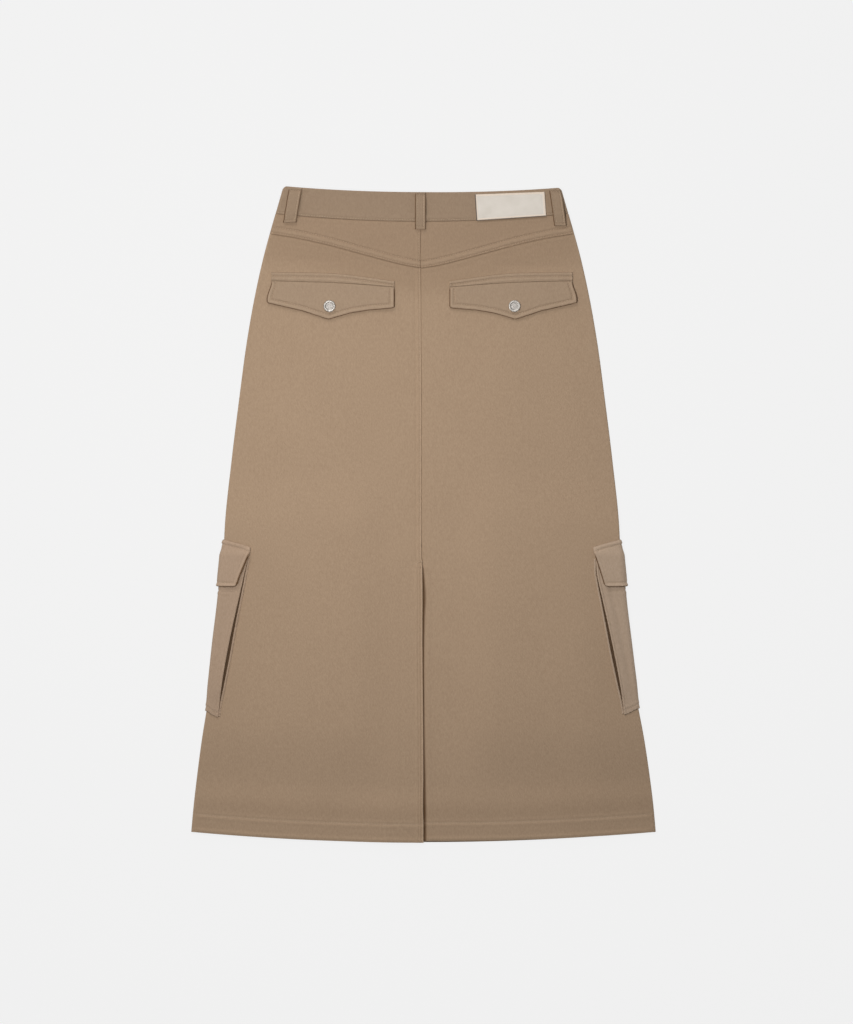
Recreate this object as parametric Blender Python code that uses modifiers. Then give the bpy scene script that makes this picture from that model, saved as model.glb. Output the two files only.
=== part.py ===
"""A cargo utility skirt of cotton twill, laid flat on its front with the back side up.

Units are metres. The origin is on the surface that the skirt lies on, under the middle of its box.
+Y points to the waist, +Z is up, and +X is to the right as the back is looked down on.

The skirt is a flattened tube. A place on its cloth is an `around` value and a `y`. `around` is 0 at
the centre back, 1 where the side fold begins, 2 where the fold ends underneath and 3 at the centre
front, and it is negative on the left. Every cloth piece is a wall between two offsets from the
middle of the tube's cloth, so what lies on a panel is made from that panel's own points, moved out.
"""

import math
from collections import namedtuple

import bmesh
import bpy
import numpy as np
from mathutils import Matrix, Vector

# Cloth and clearances
CLOTH = 0.0012  # one layer of heavy twill
BAND = 0.0024  # two layers pressed together, as in the waistband
GAP = 0.0003  # clearance at each seam and between layers
INNER_GAP = 0.0016  # between the back's cloth and the front's, inside the skirt

# Outline, seen from above
WAIST_Y = 0.3930  # top edge of the waistband at the side folds
WAIST_DIP = 0.0070  # how far the top edge curves down to the centre
WAIST_TILT = 0.0018  # how much lower the top edge lies at the right side than at the left
BAND_SEAM_Y = 0.3510  # seam under the waistband at the centre
BAND_SEAM_RISE = 0.0090  # how far that seam curves up to the side folds
YOKE_TIP_Y = 0.2955  # point of the yoke's V at the centre back
HEM_Y = -0.3930  # bottom edge at the centre
HEM_RISE = 0.0125  # how far the bottom edge curves up to the side folds
HEM_DEPTH = 0.0240  # the turned-up hem
HEM_STEP = 0.0030  # distance in which the wall thickens from one layer to the hem's two
RIGHT_HEM_SHORT = 0.0018  # the right back panel ends this much above the left one

# Heights. The waist rests on the front belt loops and the button, which are thicker than the cloth.
WAIST_REST = 0.0030
WAIST_SLOPE = 0.0600  # length of the slope down from the waistband to the flat cloth
WAIST_EXTRA = 0.0012  # more room between back and front at the waist, for the doubled band
HEM_SLOPE = 0.0430  # length of the slope up to the hem
UNDER_POCKET = 0.0045  # the cargo pocket's bellows, face and flap, one on another

# Back vent, with the left edge lapped over the right
VENT_TOP_Y = -0.0620
UNDERLAP = 0.0280
UNDERLAP_SHARES = (-1.0, -0.5)  # its columns, as shares of its width to the left of the seam
VENT_SLOPE = 0.0600

Section = namedtuple("Section", "y half_width shift")
SECTIONS = [
    Section(-0.3930, 0.2796, 0.0000),
    Section(-0.3430, 0.2750, 0.0000),
    Section(-0.2710, 0.2653, -0.0005),
    Section(-0.2226, 0.2570, -0.0011),
    Section(-0.1506, 0.2482, -0.0018),
    Section(-0.1026, 0.2424, -0.0018),
    Section(-0.0546, 0.2383, -0.0018),
    Section(-0.0066, 0.2358, -0.0018),
    Section(0.0654, 0.2284, -0.0018),
    Section(0.1374, 0.2195, -0.0018),
    Section(0.2094, 0.2098, -0.0018),
    Section(0.2574, 0.2014, -0.0018),
    Section(0.3054, 0.1909, -0.0018),
    Section(0.3534, 0.1775, -0.0018),
    Section(0.3774, 0.1706, -0.0018),
    Section(0.3930, 0.1661, -0.0018),
]

# The yoke seam: how far it climbs above its tip, at shares of the way to the side fold.
YokeRow = namedtuple("YokeRow", "share rise")
YOKE_SEAM = [
    YokeRow(0.00, 0.0000),
    YokeRow(0.08, 0.0025),
    YokeRow(0.30, 0.0125),
    YokeRow(0.60, 0.0270),
    YokeRow(0.82, 0.0355),
    YokeRow(1.00, 0.0405),
]

# A back pocket, at distances out from the centre back: the welt's upper edge, the crease that the
# flap hangs from, and the flap's pointed lower edge.
FlapRow = namedtuple("FlapRow", "out welt_y crease_y lower_y")
BACK_FLAP = [
    FlapRow(0.0328, 0.2799, 0.2726, 0.2484),
    FlapRow(0.0360, 0.2802, 0.2728, 0.2470),
    FlapRow(0.0640, 0.2842, 0.2750, 0.2446),
    FlapRow(0.0850, 0.2870, 0.2765, 0.2413),
    FlapRow(0.1062, 0.2890, 0.2778, 0.2352),
    FlapRow(0.1120, 0.2892, 0.2780, 0.2334),
    FlapRow(0.1175, 0.2894, 0.2782, 0.2350),
    FlapRow(0.1430, 0.2898, 0.2789, 0.2437),
    FlapRow(0.1700, 0.2901, 0.2795, 0.2497),
    FlapRow(0.1830, 0.2903, 0.2797, 0.2528),
    FlapRow(0.1860, 0.2903, 0.2798, 0.2550),
]
FLAP_FLARE = 0.0052  # how far the flap's outer end spreads beyond the welt's
FLARE_START = 0.1190  # out from the centre
SNAP_OUT = 0.1108
SNAP_Y = 0.2495
SNAP_RADIUS = 0.0070
SNAP_HEIGHT = 0.0024
SNAP_SEAT = CLOTH / 2 + GAP + BAND  # height of its back above the middle of the panel's cloth

# A turned piece's outline from the middle of its face outward and down, as shares of its radius
# and its height. The snap has a domed face inside a raised rim.
Turned = namedtuple("Turned", "out up")
TURNED_STEPS = 28
MERGE_WITHIN = 0.00001  # the points on the axis become one
SNAP_PROFILE = [
    Turned(0.00, 1.00),
    Turned(0.45, 0.97),
    Turned(0.72, 0.82),
    Turned(0.80, 0.70),
    Turned(0.90, 0.85),
    Turned(1.00, 0.55),
    Turned(1.00, 0.00),
    Turned(0.00, 0.00),
]

# A cargo pocket's edge on the back, and how far its bellows show beyond that edge.
PocketRow = namedtuple("PocketRow", "y out bellows")
POCKET_EDGE = [
    PocketRow(-0.2430, 0.2440, 0.0010),
    PocketRow(-0.2080, 0.2395, 0.0030),
    PocketRow(-0.1580, 0.2305, 0.0040),
    PocketRow(-0.1026, 0.2185, 0.0040),
    PocketRow(-0.0830, 0.2140, 0.0035),
    PocketRow(-0.0500, 0.2075, 0.0030),
]
POCKET_FRONT_OUT = 0.1300  # its edge on the front, out from the centre front
POCKET_TOP_Y = -0.0520
POCKET_BELLOWS_WIDTH = 0.0100
BELLOWS_FRONT_REACH = 0.0030  # how far the bellows show beyond the pocket's edge on the front
BELLOWS_INSET = 0.0010  # how far the bellows end short of the pocket's top and bottom edges
NEAREST_FOLD = 0.995  # the bellows' strip on the back stops short of the side fold
BELLOWS_ROWS = 8
POCKET_BOTTOM = {"back": -0.2430, "fold": -0.2355, "front": -0.2400}

CargoFlapRow = namedtuple("CargoFlapRow", "y out")
CARGO_FLAP_EDGE = [
    CargoFlapRow(-0.0862, 0.2212),
    CargoFlapRow(-0.0808, 0.2196),
    CargoFlapRow(-0.0659, 0.2140),
    CargoFlapRow(-0.0554, 0.2096),
    CargoFlapRow(-0.0470, 0.2062),
    CargoFlapRow(-0.0388, 0.2048),
]
CARGO_FLAP_FRONT_OUT = 0.1270
CARGO_FLAP_TOP = {"back": -0.0388, "fold": -0.0300, "front": -0.0330}
CARGO_FLAP_BOTTOM = {"back": -0.0862, "fold": -0.0845, "front": -0.0880}
CARGO_FLAP_LEVELS = [-0.0420, -0.0460, -0.0500, -0.0600, -0.0730]  # rows between its two edges

# Belt loops: where the middle of each loop's top and bottom end lies on the band.
LoopRow = namedtuple("LoopRow", "name front top_x top_y bottom_x bottom_y width")
BELT_LOOPS = [
    LoopRow("belt_loop_back_left", False, -0.1524, 0.3905, -0.1607, 0.3493, 0.0150),
    LoopRow("belt_loop_back_centre", False, -0.0037, 0.3857, -0.0037, 0.3414, 0.0125),
    LoopRow("belt_loop_back_right", False, 0.1559, 0.3900, 0.1643, 0.3467, 0.0145),
    LoopRow("belt_loop_front_left", True, -0.0950, 0.3870, -0.0970, 0.3440, 0.0135),
    LoopRow("belt_loop_front_right", True, 0.0914, 0.3870, 0.0934, 0.3440, 0.0135),
]
LOOP_THICKNESS = 0.0018
LOOP_BOW = 0.0007  # how far a loop stands off the band at mid-height

# Along a loop, by its share from the top end: the share of the bow it stands off the band there.
BowRow = namedtuple("BowRow", "share bow")
LOOP_BOWS = [
    BowRow(0.00, 0.0),
    BowRow(0.14, 0.0),
    BowRow(0.35, 1.0),
    BowRow(0.70, 1.0),
    BowRow(0.88, 0.0),
    BowRow(1.00, 0.0),
]

# The blank patch on the back waistband, by its corners
PATCH_LEFT = {"x": 0.0625, "top": 0.3827, "bottom": 0.3520}
PATCH_RIGHT = {"x": 0.1462, "top": 0.3863, "bottom": 0.3570}
PATCH_THICKNESS = 0.0011

BUTTON_RADIUS = 0.0085
BUTTON_HEIGHT = 0.0026
BUTTON_PROFILE = [
    Turned(0.00, 1.00),
    Turned(0.55, 1.00),
    Turned(0.60, 0.90),
    Turned(1.00, 0.75),
    Turned(1.00, 0.25),
    Turned(0.92, 0.00),
    Turned(0.00, 0.00),
]

# Columns of points across half of the back or the front, dense where the cloth rolls over
FLAT_COLUMNS = [0.14, 0.28, 0.42, 0.58, 0.75, 0.90, 1.0]
FOLD_COLUMNS = [1.12, 1.25, 1.38]
SIDE_SEAM = 1.5
SIDE_SEAM_STEP = 0.0200  # half the side seam's clearance: 0.1 mm inside the roll, 0.3 mm outside
WRAP_COLUMNS = [1.0, 1.12, 1.25, 1.38, 1.5, 1.62, 1.75, 1.88, 2.0]  # right round a side fold
BEYOND_FOLD = 2.2  # a column of the bellows' lower strip, on the front just past the fold
THIRDS = (2 / 3, 1 / 3)  # rows on a slope of the cloth, between its top and its foot

Finish = namedtuple("Finish", "colour roughness metallic")
TWILL = Finish((0.36, 0.27, 0.19), 0.9, 0.0)
LEATHER = Finish((0.70, 0.64, 0.56), 0.6, 0.0)
NICKEL = Finish((0.55, 0.53, 0.50), 0.3, 1.0)


def ease(value, start, end):
    """0 at the start and 1 at the end, easing in and out."""
    share = min(max((value - start) / (end - start), 0.0), 1.0)
    return share * share * (3 - 2 * share)


def curve(rows, place, column, at):
    """A column's value on a smooth curve through a table whose place column rises."""
    places = np.array([getattr(row, place) for row in rows])
    values = np.array([getattr(row, column) for row in rows])
    slopes = np.gradient(values, places)
    i = int(np.clip(np.searchsorted(places, at) - 1, 0, len(rows) - 2))
    step = places[i + 1] - places[i]
    t = min(max((at - places[i]) / step, 0.0), 1.0)
    start_weight = (1 + 2 * t) * (1 - t) ** 2
    end_weight = t * t * (3 - 2 * t)
    start_pull = t * (1 - t) ** 2 * step
    end_pull = t * t * (t - 1) * step
    return float(
        start_weight * values[i]
        + end_weight * values[i + 1]
        + start_pull * slopes[i]
        + end_pull * slopes[i + 1]
    )


def roll(y):
    """Radius of a side fold, in the middle of its cloth."""
    return between_layers(1.0, y) / 2


def reach(y):
    """Half the width of the flat cloth, from the centre to where a side fold begins."""
    return curve(SECTIONS, "y", "half_width", y) - CLOTH / 2 - roll(y)


def shift(y):
    return curve(SECTIONS, "y", "shift", y)


def share_of(around):
    """Share of the way from the centre to the side fold, on the back or on the front."""
    return min(abs(around), 1.0, 3.0 - abs(around))


def hem_edge(around):
    """The bottom edge, which ends a little higher on the right of the vent than on its left."""
    share = share_of(around)
    short = RIGHT_HEM_SHORT * (1 - share) if 0 < around <= 1 else 0
    return HEM_Y + HEM_RISE * share**2 + short


def waist_edge(around):
    share = share_of(around)
    tilt = WAIST_TILT * share if around > 0 else 0
    return WAIST_Y - WAIST_DIP * (1 - share**2) - tilt


def band_seam(around):
    return BAND_SEAM_Y + BAND_SEAM_RISE * share_of(around) ** 2


def yoke_seam(around):
    return YOKE_TIP_Y + curve(YOKE_SEAM, "share", "rise", share_of(around))


def at_waist(y):
    return ease(y, BAND_SEAM_Y - WAIST_SLOPE, BAND_SEAM_Y)


def at_hem(around, y):
    """1 on the hem and 0 where the cloth is one layer and flat."""
    start = hem_edge(around) + HEM_DEPTH + HEM_STEP
    return 1 - ease(y, start, start + HEM_SLOPE)


def pocket_lift(across, y):
    """How far the front is held up by the cargo pocket folded under it."""
    inward = ease(across, 0.035, 0.090)
    below = ease(y, -0.330, -0.252)
    above = 1 - ease(y, -0.020, 0.060)
    return UNDER_POCKET * inward * below * above


def front_height(across, y):
    """Height of the middle of the front's cloth, which lies underneath."""
    waist = at_waist(y)
    return CLOTH / 2 + pocket_lift(across, y) + waist * (WAIST_REST + (BAND - CLOTH) / 2)


def between_layers(around, y):
    """How far the middle of the back's cloth lies above the middle of the front's."""
    return CLOTH + INNER_GAP + at_waist(y) * WAIST_EXTRA + at_hem(around, y) * 2 * CLOTH


def back_height(around, across, y):
    """Height of the middle of the back's cloth, which lies on the front's."""
    return front_height(across, y) + between_layers(around, y)


def middle(around, y):
    """A point in the middle of the tube's cloth."""
    side = -1 if around < 0 else 1
    turn = abs(around)
    flat = reach(y)
    if turn <= 1:
        across = turn * flat
        height = back_height(around, across, y)
    elif turn >= 2:
        across = (3 - turn) * flat
        height = front_height(abs(across), y)
    else:
        angle = (turn - 1) * math.pi
        top = back_height(around, flat, y)
        bottom = front_height(flat, y)
        across = flat + roll(y) * math.sin(angle)
        height = (top + bottom) / 2 + (top - bottom) / 2 * math.cos(angle)
    return np.array([side * across + shift(y), y, height])


def outward(around, y):
    """The direction that points out of the tube."""
    along_step = 0.0005
    around_step = 0.002
    turn_way = middle(around + around_step, y) - middle(around - around_step, y)
    along_way = middle(around, y + along_step) - middle(around, y - along_step)
    normal = np.cross(turn_way, along_way)
    return normal / np.linalg.norm(normal)


def place(around, y, offset):
    """A point at an offset out from the middle of the cloth, never under the resting surface."""
    point = middle(around, y) + outward(around, y) * offset
    point[2] = max(point[2], 0.0)
    return np.round(point, 7)


def finish_material(name, finish):
    material = bpy.data.materials.new(name)
    material.use_nodes = True
    shader = material.node_tree.nodes["Principled BSDF"]
    shader.inputs["Base Color"].default_value = (*finish.colour, 1.0)
    shader.inputs["Roughness"].default_value = finish.roughness
    shader.inputs["Metallic"].default_value = finish.metallic
    return material


def add_object(name, mesh, finish):
    mesh.materials.append(finish_material(name + "_finish", finish))
    made = bpy.data.objects.new(name, mesh)
    parts.objects.link(made)
    return made


def wall(name, columns, outer, inner, finish=TWILL, present=None):
    """A closed wall of cloth over a grid of places.

    columns holds columns of (around, y), all with as many rows. outer and inner give the offset of
    each face at a place. present tells which cells of the grid are cloth, and all are without it.
    """
    rows = len(columns[0])
    vertices = []
    for face_offset in (outer, inner):
        for column in columns:
            for around, y in column:
                vertices.append(place(around, y, face_offset(around, y)))
    under = len(columns) * rows
    faces = []
    edge_uses = {}
    for i in range(len(columns) - 1):
        for j in range(rows - 1):
            if present and not present(i, j):
                continue
            loop = [i * rows + j, (i + 1) * rows + j, (i + 1) * rows + j + 1, i * rows + j + 1]
            faces.append(loop)
            faces.append([corner + under for corner in reversed(loop)])
            for a, b in zip(loop, loop[1:] + loop[:1]):
                edge_uses[(a, b)] = True
    for a, b in edge_uses:
        if (b, a) not in edge_uses:
            faces.append([b, a, a + under, b + under])
    mesh = bpy.data.meshes.new(name)
    mesh.from_pydata(vertices, [], faces)
    shape = bmesh.new()
    shape.from_mesh(mesh)
    loose = [vertex for vertex in shape.verts if not vertex.link_faces]
    bmesh.ops.delete(shape, geom=loose, context="VERTS")
    bmesh.ops.recalc_face_normals(shape, faces=shape.faces)
    shape.to_mesh(mesh)
    shape.free()
    return add_object(name, mesh, finish)


def even(value):
    """An offset that is the same at every place."""
    return lambda around, y: value


def spread(start, end, count):
    return [float(value) for value in np.linspace(start, end, count)]


def seam_gap(around, y):
    """Half a seam's clearance, as a step in `around`."""
    if 1 < abs(around) < 2:
        return SIDE_SEAM_STEP
    return GAP / 2 / reach(y)


def half_columns(side, centre):
    """The `around` values of half the back or half the front, as functions of y.

    centre is 0 for the back and 3 for the front.
    """
    away = 1 if centre == 0 else -1
    values = [lambda y: side * (centre + away * seam_gap(centre, y))]
    for flat in FLAT_COLUMNS + FOLD_COLUMNS:
        values.append(lambda y, flat=flat: side * (centre + away * flat))
    values.append(lambda y: side * (SIDE_SEAM - away * seam_gap(SIDE_SEAM, y)))
    return values


def panel_levels(upper, hem):
    """Rows of y down a panel, with more over the slopes at the waist, the vent and the hem."""
    slope_top = hem + HEM_DEPTH + HEM_STEP + HEM_SLOPE
    slope_foot = BAND_SEAM_Y - WAIST_SLOPE
    levels = spread(upper, slope_foot, 4)[:-1]
    levels += spread(slope_foot, VENT_TOP_Y + VENT_SLOPE, 7)
    levels += [VENT_TOP_Y + VENT_SLOPE * share for share in THIRDS]
    levels += spread(VENT_TOP_Y, slope_top, 8)
    levels += [hem + HEM_DEPTH + HEM_STEP + HEM_SLOPE * share for share in THIRDS]
    levels += [hem + HEM_DEPTH + HEM_STEP]
    levels += [hem + HEM_DEPTH, hem]
    return levels


def inside_hem(around, y):
    """The inner face: one layer down to the turned-up hem, and two on it."""
    turned_up = y < hem_edge(around) + HEM_DEPTH + HEM_STEP / 2
    return -CLOTH / 2 - (CLOTH if turned_up else 0)


def vent_raise(around, y):
    """How far the left panel is lifted by the underlap below it."""
    across = abs(around) * reach(y)
    near = 1 - ease(across, UNDERLAP + 0.015, UNDERLAP + 0.015 + VENT_SLOPE)
    below = 1 - ease(y, VENT_TOP_Y, VENT_TOP_Y + VENT_SLOPE)
    return near * below * (CLOTH + GAP + CLOTH * at_hem(around, y))


def build_back_panels():
    upper = [yoke_seam(column(YOKE_TIP_Y)) - GAP / 2 for column in half_columns(-1, 0)]
    left = []
    for column, top in zip(half_columns(-1, 0), upper):
        left.append([(column(y), y) for y in panel_levels(top, hem_edge(column(HEM_Y)))])
    wall(
        "back_left",
        left,
        lambda around, y: CLOTH / 2 + vent_raise(around, y),
        lambda around, y: inside_hem(around, y) + vent_raise(around, y),
    )

    right = []
    for share in UNDERLAP_SHARES:
        levels = panel_levels(upper[0], HEM_Y + RIGHT_HEM_SHORT)
        right.append([(share * UNDERLAP / reach(y), y) for y in levels])
    for column, top in zip(half_columns(1, 0), upper):
        right.append([(column(y), y) for y in panel_levels(top, hem_edge(column(HEM_Y)))])
    vent_row = panel_levels(upper[0], HEM_Y).index(VENT_TOP_Y)
    wall(
        "back_right",
        right,
        even(CLOTH / 2),
        inside_hem,
        present=lambda i, j: i >= len(UNDERLAP_SHARES) or j >= vent_row,
    )


def build_yokes():
    for side, name in ((-1, "yoke_left"), (1, "yoke_right")):
        columns = []
        for column in half_columns(side, 0):
            top = band_seam(column(BAND_SEAM_Y)) - GAP / 2
            bottom = yoke_seam(column(YOKE_TIP_Y)) + GAP / 2
            columns.append([(column(y), y) for y in spread(top, bottom, 5)])
        wall(name, columns, even(CLOTH / 2), even(-CLOTH / 2))


def build_front_panels():
    for side, name in ((-1, "front_left"), (1, "front_right")):
        columns = []
        for column in half_columns(side, 3):
            top = band_seam(column(BAND_SEAM_Y)) - GAP / 2
            yoke = yoke_seam(column(YOKE_TIP_Y))
            levels = spread(top, yoke, 5)[:-1] + panel_levels(yoke, hem_edge(column(HEM_Y)))
            columns.append([(column(y), y) for y in levels])
        wall(name, columns, even(CLOTH / 2), inside_hem)


def band_levels(around):
    return spread(waist_edge(around), band_seam(around) + GAP / 2, 4)


def build_waistband():
    half = half_columns(1, 0)[1:]
    whole = [lambda y, column=column: -column(y) for column in reversed(half)]
    whole += [lambda y: 0.0] + half
    columns = []
    for column in whole:
        columns.append([(column(y), y) for y in band_levels(column(BAND_SEAM_Y))])
    wall("waistband_back", columns, even(BAND / 2), even(-BAND / 2))
    for side, name in ((-1, "waistband_front_left"), (1, "waistband_front_right")):
        columns = []
        for column in half_columns(side, 3):
            columns.append([(column(y), y) for y in band_levels(column(BAND_SEAM_Y))])
        wall(name, columns, even(BAND / 2), even(-BAND / 2))


def on_band(x, y, front=False):
    """The place under a point seen from above."""
    across = (x - shift(y)) / reach(y)
    if not front:
        return across
    return math.copysign(3 - abs(across), across)


def build_belt_loops():
    """Straps sewn down at both ends, standing a little off the band between them."""
    for loop in BELT_LOOPS:
        offset_of = {}
        columns = []
        for edge in (-0.5, 0.0, 0.5):
            column = []
            for share, bow in LOOP_BOWS:
                x = loop.top_x + (loop.bottom_x - loop.top_x) * share + edge * loop.width
                y = loop.top_y + (loop.bottom_y - loop.top_y) * share
                spot = (on_band(x, y, loop.front), y)
                offset_of[spot] = BAND / 2 + GAP + LOOP_BOW * bow
                column.append(spot)
            columns.append(column)
        wall(
            loop.name,
            columns,
            lambda around, y, offset_of=offset_of: offset_of[(around, y)] + LOOP_THICKNESS,
            lambda around, y, offset_of=offset_of: offset_of[(around, y)],
        )


def build_patch():
    columns = []
    for share in spread(0, 1, 6):
        x = PATCH_LEFT["x"] + (PATCH_RIGHT["x"] - PATCH_LEFT["x"]) * share
        top = PATCH_LEFT["top"] + (PATCH_RIGHT["top"] - PATCH_LEFT["top"]) * share
        bottom = PATCH_LEFT["bottom"] + (PATCH_RIGHT["bottom"] - PATCH_LEFT["bottom"]) * share
        columns.append([(on_band(x, y), y) for y in spread(top, bottom, 3)])
    seat = BAND / 2 + GAP
    wall("waist_patch", columns, even(seat + PATCH_THICKNESS), even(seat), LEATHER)


def narrowed(row):
    """Where a row of the back pocket lies at the crease, which is shorter than the lower edge."""
    share = (row.out - FLARE_START) / (BACK_FLAP[-1].out - FLARE_START)
    return row.out - FLAP_FLARE * max(share, 0.0)


def build_back_pockets():
    """A topstitched welt with a pointed flap below it on each side, and a snap on each flap."""
    seat = CLOTH / 2 + GAP
    for side, which in ((-1, "left"), (1, "right")):
        welt = []
        flap = []
        for row in BACK_FLAP:
            ys = spread(row.welt_y, row.crease_y + GAP / 2, 3)
            welt.append([(side * narrowed(row) / reach(y), y) for y in ys])
            ys = spread(row.crease_y - GAP / 2, row.lower_y, 4)
            outs = spread(narrowed(row), row.out, 4)
            flap.append([(side * out / reach(y), y) for out, y in zip(outs, ys)])
        wall(f"back_welt_{which}", welt, even(seat + CLOTH), even(seat))
        wall(f"back_flap_{which}", flap, even(seat + BAND - GAP), even(seat))
        place_turned(
            f"snap_{which}",
            SNAP_PROFILE,
            SNAP_RADIUS,
            SNAP_HEIGHT,
            side * SNAP_OUT / reach(SNAP_Y),
            SNAP_Y,
            SNAP_SEAT,
        )


def place_turned(name, profile, radius, height, around, y, seat):
    """A turned metal piece that stands on the cloth: its profile runs from its top out and down."""
    mesh = bpy.data.meshes.new(name)
    points = [(out * radius, 0.0, up * height) for out, up in profile]
    mesh.from_pydata(points, [(i, i + 1) for i in range(len(points) - 1)], [])
    made = add_object(name, mesh, NICKEL)
    turn = made.modifiers.new("turn", "SCREW")
    turn.axis = "Z"
    turn.steps = TURNED_STEPS
    turn.render_steps = TURNED_STEPS
    turn.use_merge_vertices = True
    turn.merge_threshold = MERGE_WITHIN
    normal = Vector(outward(around, y))
    stand = Vector(middle(around, y)) + normal * seat
    upright = normal.to_track_quat("Z", "Y").to_matrix().to_4x4()
    made.matrix_world = Matrix.Translation(stand) @ upright


def wrap_columns(side, edge, front_out):
    """Columns of a piece that wraps round a side fold, from its edge on the back to the front's."""
    columns = [edge, lambda y: (edge(y) + 1) / 2]
    columns += [lambda y, value=value: value for value in WRAP_COLUMNS]
    for share in (0.33, 0.67, 1.0):
        columns.append(lambda y, share=share: 2 + share * (1 - front_out / reach(y)))
    return [lambda y, column=column: side * column(y) for column in columns]


def wrap_edge(columns, ends):
    """The y of a wrapped piece's top or bottom edge at each of its columns."""
    folded = columns[2:-3]
    level = []
    for column in columns:
        around = abs(column(ends["fold"]))
        back_edge = abs(columns[0](ends["back"]))
        front_edge = abs(columns[-1](ends["front"]))
        if around < 1:
            share = (1 - around) / (1 - back_edge)
            level.append(ends["fold"] + (ends["back"] - ends["fold"]) * min(share, 1.0))
        elif column in folded:
            level.append(ends["fold"])
        else:
            share = (around - 2) / (front_edge - 2)
            level.append(ends["fold"] + (ends["front"] - ends["fold"]) * min(share, 1.0))
    level[0] = ends["back"]
    return level


def build_cargo_pockets():
    """Face, three-sided bellows strip under its edges, and flap, wrapped round each side fold."""
    bellows_seat = CLOTH / 2 + GAP
    face_seat = bellows_seat + CLOTH + GAP
    flap_seat = face_seat + CLOTH + GAP

    def face_edge(y):
        return curve(POCKET_EDGE, "y", "out", y) / reach(y)

    def flap_edge(y):
        return curve(CARGO_FLAP_EDGE, "y", "out", y) / reach(y)

    def flap_offset(around, y):
        """The flap is sewn to the skirt at its top and lies on the pocket below that."""
        down = ease(y, CARGO_FLAP_TOP["back"] + 0.0005, POCKET_TOP_Y + 0.0020)
        return bellows_seat + (flap_seat - bellows_seat) * down

    for side, which in ((-1, "left"), (1, "right")):
        across = wrap_columns(side, face_edge, POCKET_FRONT_OUT)
        grid = []
        for column, bottom in zip(across, wrap_edge(across, POCKET_BOTTOM)):
            grid.append([(column(y), y) for y in spread(POCKET_TOP_Y, bottom, 8)])
        wall(f"cargo_pocket_{which}", grid, even(face_seat + CLOTH), even(face_seat))

        bellows_grid = []
        strips = [
            lambda y: face_edge(y) - curve(POCKET_EDGE, "y", "bellows", y) / reach(y),
            lambda y: min(face_edge(y) + POCKET_BELLOWS_WIDTH / reach(y), NEAREST_FOLD),
        ]
        strips += [lambda y, value=value: value for value in WRAP_COLUMNS]
        strips += [
            lambda y: BEYOND_FOLD,
            lambda y: 3 - (POCKET_FRONT_OUT + POCKET_BELLOWS_WIDTH) / reach(y),
            lambda y: 3 - (POCKET_FRONT_OUT - BELLOWS_FRONT_REACH) / reach(y),
        ]
        strips = [lambda y, column=column: side * column(y) for column in strips]
        inset = {end: y + BELLOWS_INSET for end, y in POCKET_BOTTOM.items()}
        top = POCKET_TOP_Y - BELLOWS_INSET
        for column, bottom in zip(strips, wrap_edge(strips, inset)):
            levels = spread(top, bottom + POCKET_BELLOWS_WIDTH, BELLOWS_ROWS) + [bottom]
            bellows_grid.append([(column(y), y) for y in levels])
        last_column = len(strips) - 2
        wall(
            f"cargo_bellows_{which}",
            bellows_grid,
            even(bellows_seat + CLOTH),
            even(bellows_seat),
            present=lambda i, j: i in (0, last_column) or j == BELLOWS_ROWS - 1,
        )

        across = wrap_columns(side, flap_edge, CARGO_FLAP_FRONT_OUT)
        tops = wrap_edge(across, CARGO_FLAP_TOP)
        bottoms = wrap_edge(across, CARGO_FLAP_BOTTOM)
        grid = []
        for column, top, bottom in zip(across, tops, bottoms):
            levels = [top] + CARGO_FLAP_LEVELS + [bottom]
            grid.append([(column(y), y) for y in levels])
        wall(
            f"cargo_flap_{which}",
            grid,
            lambda around, y: flap_offset(around, y) + CLOTH,
            flap_offset,
        )


def build_waist_button():
    """The button on the centre front, under the waistband, flat on the resting surface."""
    y = (waist_edge(3) + band_seam(3)) / 2
    seat = BAND / 2 + GAP
    place_turned("waist_button", BUTTON_PROFILE, BUTTON_RADIUS, BUTTON_HEIGHT, 3, y, seat)


for leftover in list(bpy.data.objects):
    bpy.data.objects.remove(leftover, do_unlink=True)
parts = bpy.data.collections.new("cargo_utility_skirt")
bpy.context.scene.collection.children.link(parts)

build_back_panels()
build_yokes()
build_front_panels()
build_waistband()
build_belt_loops()
build_patch()
build_back_pockets()
build_cargo_pockets()
build_waist_button()
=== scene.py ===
"""A cargo utility skirt in brushed cotton twill, laid flat on its front with the back side up."""

import math

import bmesh
import bpy
import numpy as np
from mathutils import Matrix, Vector


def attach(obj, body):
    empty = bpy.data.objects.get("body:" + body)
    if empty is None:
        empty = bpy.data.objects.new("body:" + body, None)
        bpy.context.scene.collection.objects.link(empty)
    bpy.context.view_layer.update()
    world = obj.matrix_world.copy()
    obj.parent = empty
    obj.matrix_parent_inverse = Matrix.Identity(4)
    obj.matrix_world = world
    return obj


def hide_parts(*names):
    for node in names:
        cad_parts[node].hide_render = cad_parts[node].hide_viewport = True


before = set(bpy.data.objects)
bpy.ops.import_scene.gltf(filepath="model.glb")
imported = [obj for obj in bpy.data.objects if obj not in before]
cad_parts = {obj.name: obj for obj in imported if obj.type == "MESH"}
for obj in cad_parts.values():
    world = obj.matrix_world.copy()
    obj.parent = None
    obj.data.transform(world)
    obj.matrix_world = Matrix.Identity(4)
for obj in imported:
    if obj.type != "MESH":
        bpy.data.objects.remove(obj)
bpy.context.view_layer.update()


# ---------------------------------------------------------------------------------------------
# The two front panels, which lie underneath. They are heavy cotton twill, cut with a straight
# front and a flared side, joined at the centre front and turned up at the hem. They are built
# first, because the flattened tube that they start is the tube that every other piece follows.

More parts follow.
